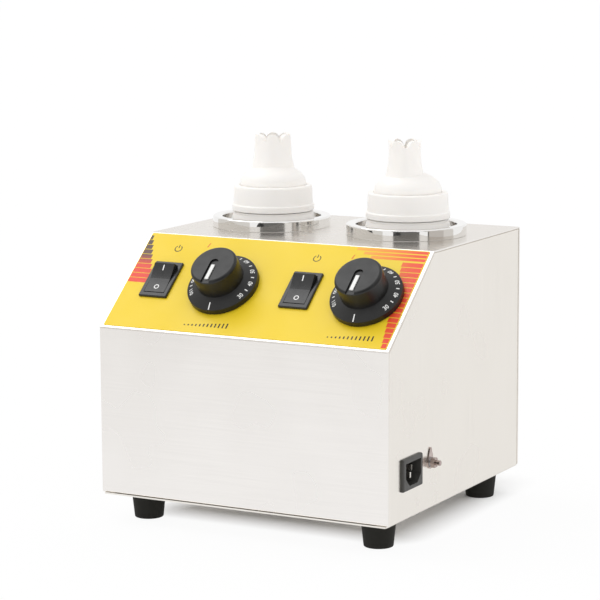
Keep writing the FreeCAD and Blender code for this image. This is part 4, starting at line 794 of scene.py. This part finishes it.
# %% Rows of bars
EDGE = 117.2
LEFT_BARS = (10, 4.8, 4.3, 19, 2)
LONG_RIGHT_BARS = (3, 3.6, 2.6, 58, 44)
RIGHT_BARS = (17, 4.8, 4.2, 17, 4)
KNOB_SCALE = (12, 3.2, 1.1, 4.8, 1.0)
ROWS = [
    ("bars_left", left_ink, (-EDGE, 46), 0, LEFT_BARS),
    ("bars_right_high", right_ink, (EDGE, 95.5), 180, LONG_RIGHT_BARS),
    ("bars_right_low", right_ink, (EDGE, 84), 180, RIGHT_BARS),
    ("scale_under_knob_left", black_ink, (-14.5, 8.3), 90, KNOB_SCALE),
    ("scale_under_knob_right", black_ink, (104.5, 8.3), 90, KNOB_SCALE),
]
for name, material, place, turn, (count, pitch, thickness, first, last) in ROWS:
    mesh = grown(bars, name, {
        "Count": count, "Pitch": pitch * MM, "Thickness": thickness * MM, "First Length": first * MM,
        "Last Length": last * MM, "Ink": material})
    mesh.transform(panel_frame(on_label(*place), turn))
    new_piece(name, mesh, material, "case")
    print(name, len(mesh.polygons), "bars")

# %% [markdown]
# Over each switch stands the usual power sign, an open ring with a line in its gap, and a slanted red tick
# stands above the left of each knob. Both are flat, so a mesh made from their corners is all that they need,
# and the panel's own frame lays it on the label. Places are counted from the middle of the panel's foot.

# %% Signs beside the controls
SIGN_PLACES = {"left": (-88.5, 82), "right": (30.7, 82)}
SIGN_RING = (2.5, 3.2)
SIGN_GAP = 70
SIGN_LINE = (0.35, 0.6, 3.8)
TICK_PLACES = {"left": (-64.5, 87.5), "right": (58.5, 86)}
TICK = [(-0.3, -2.2), (0.5, -2.2), (1.5, 2.2), (0.9, 2.2)]

open_ring = ring_arc(*SIGN_RING, TOP + SIGN_GAP / 2, TOP + 360 - SIGN_GAP / 2)
for side in ("left", "right"):
    sign = flat_mesh("sign", [*open_ring, upright_bar(*SIGN_LINE)])
    sign.transform(panel_frame(on_label(*SIGN_PLACES[side])))
    new_piece(f"power_sign_{side}", sign, black_ink, "case")
    tick = flat_mesh("tick", [TICK])
    tick.transform(panel_frame(on_label(*TICK_PLACES[side])))
    new_piece(f"red_tick_{side}", tick, red_ink, "case")
    print(side, "signs at", SIGN_PLACES[side], "and", TICK_PLACES[side], "mm")

# %% [markdown]
# ## Studio
#
# The warmer stands on a white table in even light, and the glow on that table further on is painted. Most of
# the light comes from the sky, and one broad soft lamp high on the left leans the shadows to the right. Both
# are set so that a white thing comes out white and nothing brighter. Light Path tells apart what is seen from
# what is lit: the camera, a mirror or a clear thing sees a plain white sky, while the light that the sky casts
# leaves room for the lamp.

# %% Sky and lamp
SKY_LIGHT = 0.92
LAMP_LIGHT = 0.6
LAMP_BREADTH = math.radians(40)
TOWARDS_LAMP = Vector((-0.6, 0.0, 1.0))


def seen_rays(tree):
    """One for what the camera, a mirror or a clear thing looks at, zero for light that falls on things."""
    path = add_node(tree, "ShaderNodeLightPath", {}).outputs
    seen = add_node(tree, "ShaderNodeMath", {
        "operation": "MAXIMUM", 0: path["Is Camera Ray"], 1: path["Is Glossy Ray"]})
    return add_node(tree, "ShaderNodeMath", {
        "operation": "MAXIMUM", 0: seen.outputs[0], 1: path["Is Transmission Ray"]}).outputs[0]


world = bpy.data.worlds.new("studio_sky")
bpy.context.scene.world = world
world.use_nodes = True
sky = world.node_tree
strength = add_node(sky, "ShaderNodeMapRange", {"Value": seen_rays(sky), "To Min": SKY_LIGHT, "To Max": 1.0})
sky.nodes["Background"].inputs["Color"].default_value = linear("FFFFFF")
sky.links.new(strength.outputs["Result"], sky.nodes["Background"].inputs["Strength"])

lamp = bpy.data.objects.new("broad_lamp", bpy.data.lights.new("broad_lamp", "SUN"))
lamp.data.energy = LAMP_LIGHT
lamp.data.angle = LAMP_BREADTH
lamp.rotation_euler = TOWARDS_LAMP.to_track_quat("Z", "Y").to_euler()
bpy.context.collection.objects.link(lamp)
print("sky light", SKY_LIGHT, "and lamp", LAMP_LIGHT)

# %% [markdown]
# The table carries a painted glow. It is an emission that only the camera, a mirror or a clear thing sees,
# and it thins the rendered shadows on the table. The painted glow is off under the middle of the object and
# strong from its edge on, so that the shadow lies close round the feet. It is only for the eye: the table
# throws no more light on the object than white paper does. How far a point lies from the box of kept shadow
# is counted as for any box: take the distance from its middle along each axis, subtract half the size, and
# measure what remains.

# %% Painted glow on the table
TABLE_REACH = 30
PAINTED_GLOW_UNDER = 0.0
PAINTED_GLOW_FAR = 0.93
SHADOW_BOX_MIDDLE = (0, 0.045, 0)
SHADOW_BOX_HALF = (0.086, 0.095, 0)
SHADOW_BOX_FADE = 0.034


def light_table():
    material, tree, shader, point = new_material(
        "light_table", "FBFBFB", roughness=0.9, Specular_IOR_Level=0.1)
    vary_roughness(tree, shader, noise(tree, point, grain_mm=200), low=0.85, high=0.95)
    centred = add_node(tree, "ShaderNodeVectorMath", {"operation": "SUBTRACT", 0: point, 1: SHADOW_BOX_MIDDLE})
    mirrored = add_node(tree, "ShaderNodeVectorMath", {
        "operation": "ABSOLUTE", 0: centred.outputs["Vector"]})
    past_side = add_node(tree, "ShaderNodeVectorMath", {
        "operation": "SUBTRACT", 0: mirrored.outputs["Vector"], 1: SHADOW_BOX_HALF})
    beyond = add_node(tree, "ShaderNodeVectorMath", {
        "operation": "MAXIMUM", 0: past_side.outputs["Vector"], 1: (0, 0, 0)})
    distance = add_node(tree, "ShaderNodeVectorMath", {"operation": "LENGTH", 0: beyond.outputs["Vector"]})
    # Painted glow: weak in the box under the object, where the rendered shadow is kept, and strong beyond it.
    glow = add_node(tree, "ShaderNodeMapRange", {
        "Value": distance.outputs["Value"], "From Max": SHADOW_BOX_FADE, "To Min": PAINTED_GLOW_UNDER, "To Max": PAINTED_GLOW_FAR})
    seen_glow = add_node(tree, "ShaderNodeMath", {
        "operation": "MULTIPLY", 0: glow.outputs["Result"], 1: seen_rays(tree)})
    lit = add_node(tree, "ShaderNodeEmission", {"Color": linear("FFFFFF"), "Strength": 1.0})
    both = add_node(tree, "ShaderNodeMixShader", {
        "Fac": seen_glow.outputs[0], 1: shader.outputs["BSDF"], 2: lit.outputs["Emission"]})
    tree.links.new(both.outputs[0], tree.nodes["Material Output"].inputs["Surface"])
    return material


def stage_mesh(name, points, faces, material):
    """A piece of the studio that isn't part of the object."""
    mesh = bpy.data.meshes.new(name)
    mesh.from_pydata(points, [], faces)
    mesh.materials.append(material)
    holder = bpy.data.objects.new(name, mesh)
    bpy.context.collection.objects.link(holder)
    return holder


table_corners = [(x * TABLE_REACH, y * TABLE_REACH, 0) for x, y in ((-1, -1), (1, -1), (1, 1), (-1, 1))]
# Where the camera sees this table, its colour round the object is painted light that thins the shadow.
stage_mesh("table", table_corners, [(0, 1, 2, 3)], light_table())
print("table", 2 * TABLE_REACH, "m wide")

# %% [markdown]
# Polished metal is drawn by what it mirrors. In front of the table lies the dark camera corner, with white
# boards beside it and grey walls further round. A band as high as a metre holds those tones, and it is open
# at the back. Only mirrors see it: it casts no light and no shadow, and the camera looks through it. Each
# tone starts at an angle in degrees, counted to the right from the middle of the front.

# %% Tones that the polished metal mirrors
BAND_RADIUS = 1.25
BAND_TOP = 1.0
BAND_STEPS = 72
BAND_OPEN_FROM, BAND_OPEN_TO = 0.42, 0.72
TONES = [(-180, "FFFFFF"), (-100, "DEDBD6"), (-18, "FFFFFF"), (4, "6C6B69"), (53, "FFFFFF"),
         (68, "77746F"), (71, "C6C0BA"), (100, "DDD9D4"), (125, "FFFFFF")]


def band_tones():
    material = bpy.data.materials.new("mirrored_tones")
    material.use_nodes = True
    tree = material.node_tree
    tree.nodes.remove(tree.nodes["Principled BSDF"])
    place = add_node(tree, "ShaderNodeTexCoord", {})
    parts = add_node(tree, "ShaderNodeSeparateXYZ", {"Vector": place.outputs["Object"]})
    ahead = add_node(tree, "ShaderNodeMath", {"operation": "MULTIPLY", 0: parts.outputs["Y"], 1: -1.0})
    turn = add_node(tree, "ShaderNodeMath", {
        "operation": "ARCTAN2", 0: parts.outputs["X"], 1: ahead.outputs[0]})
    share = add_node(tree, "ShaderNodeMapRange", {
        "Value": turn.outputs[0], "From Min": -math.pi, "From Max": math.pi})
    ramp = add_node(tree, "ShaderNodeValToRGB", {"Fac": share.outputs["Result"]})
    ramp.color_ramp.interpolation = "CONSTANT"
    fill_ramp(ramp, [((angle + 180) / 360, colour) for angle, colour in TONES])
    glow = add_node(tree, "ShaderNodeEmission", {"Color": ramp.outputs["Color"], "Strength": 1.0})
    tree.links.new(glow.outputs[0], tree.nodes["Material Output"].inputs["Surface"])
    return material


def only_for_mirrors(piece):
    for kind in ("camera", "diffuse", "transmission", "volume_scatter", "shadow"):
        setattr(piece, f"visible_{kind}", False)


def band_mesh():
    """The points of the band's lower and upper edge, and the faces between them."""
    turns = [2 * math.pi * step / BAND_STEPS for step in range(BAND_STEPS)]
    points = [(BAND_RADIUS * math.sin(turn), -BAND_RADIUS * math.cos(turn), height)
              for height in (0.0, BAND_TOP) for turn in turns]
    closed = [step for step in range(BAND_STEPS)
              if not BAND_OPEN_FROM * BAND_STEPS < step < BAND_OPEN_TO * BAND_STEPS]
    following = {step: (step + 1) % BAND_STEPS for step in closed}
    faces = [(step, following[step], BAND_STEPS + following[step], BAND_STEPS + step) for step in closed]
    return points, faces


band_points, band_faces = band_mesh()
only_for_mirrors(stage_mesh("mirrored_band", band_points, band_faces, band_tones()))
print("band of", len(band_faces), "faces")
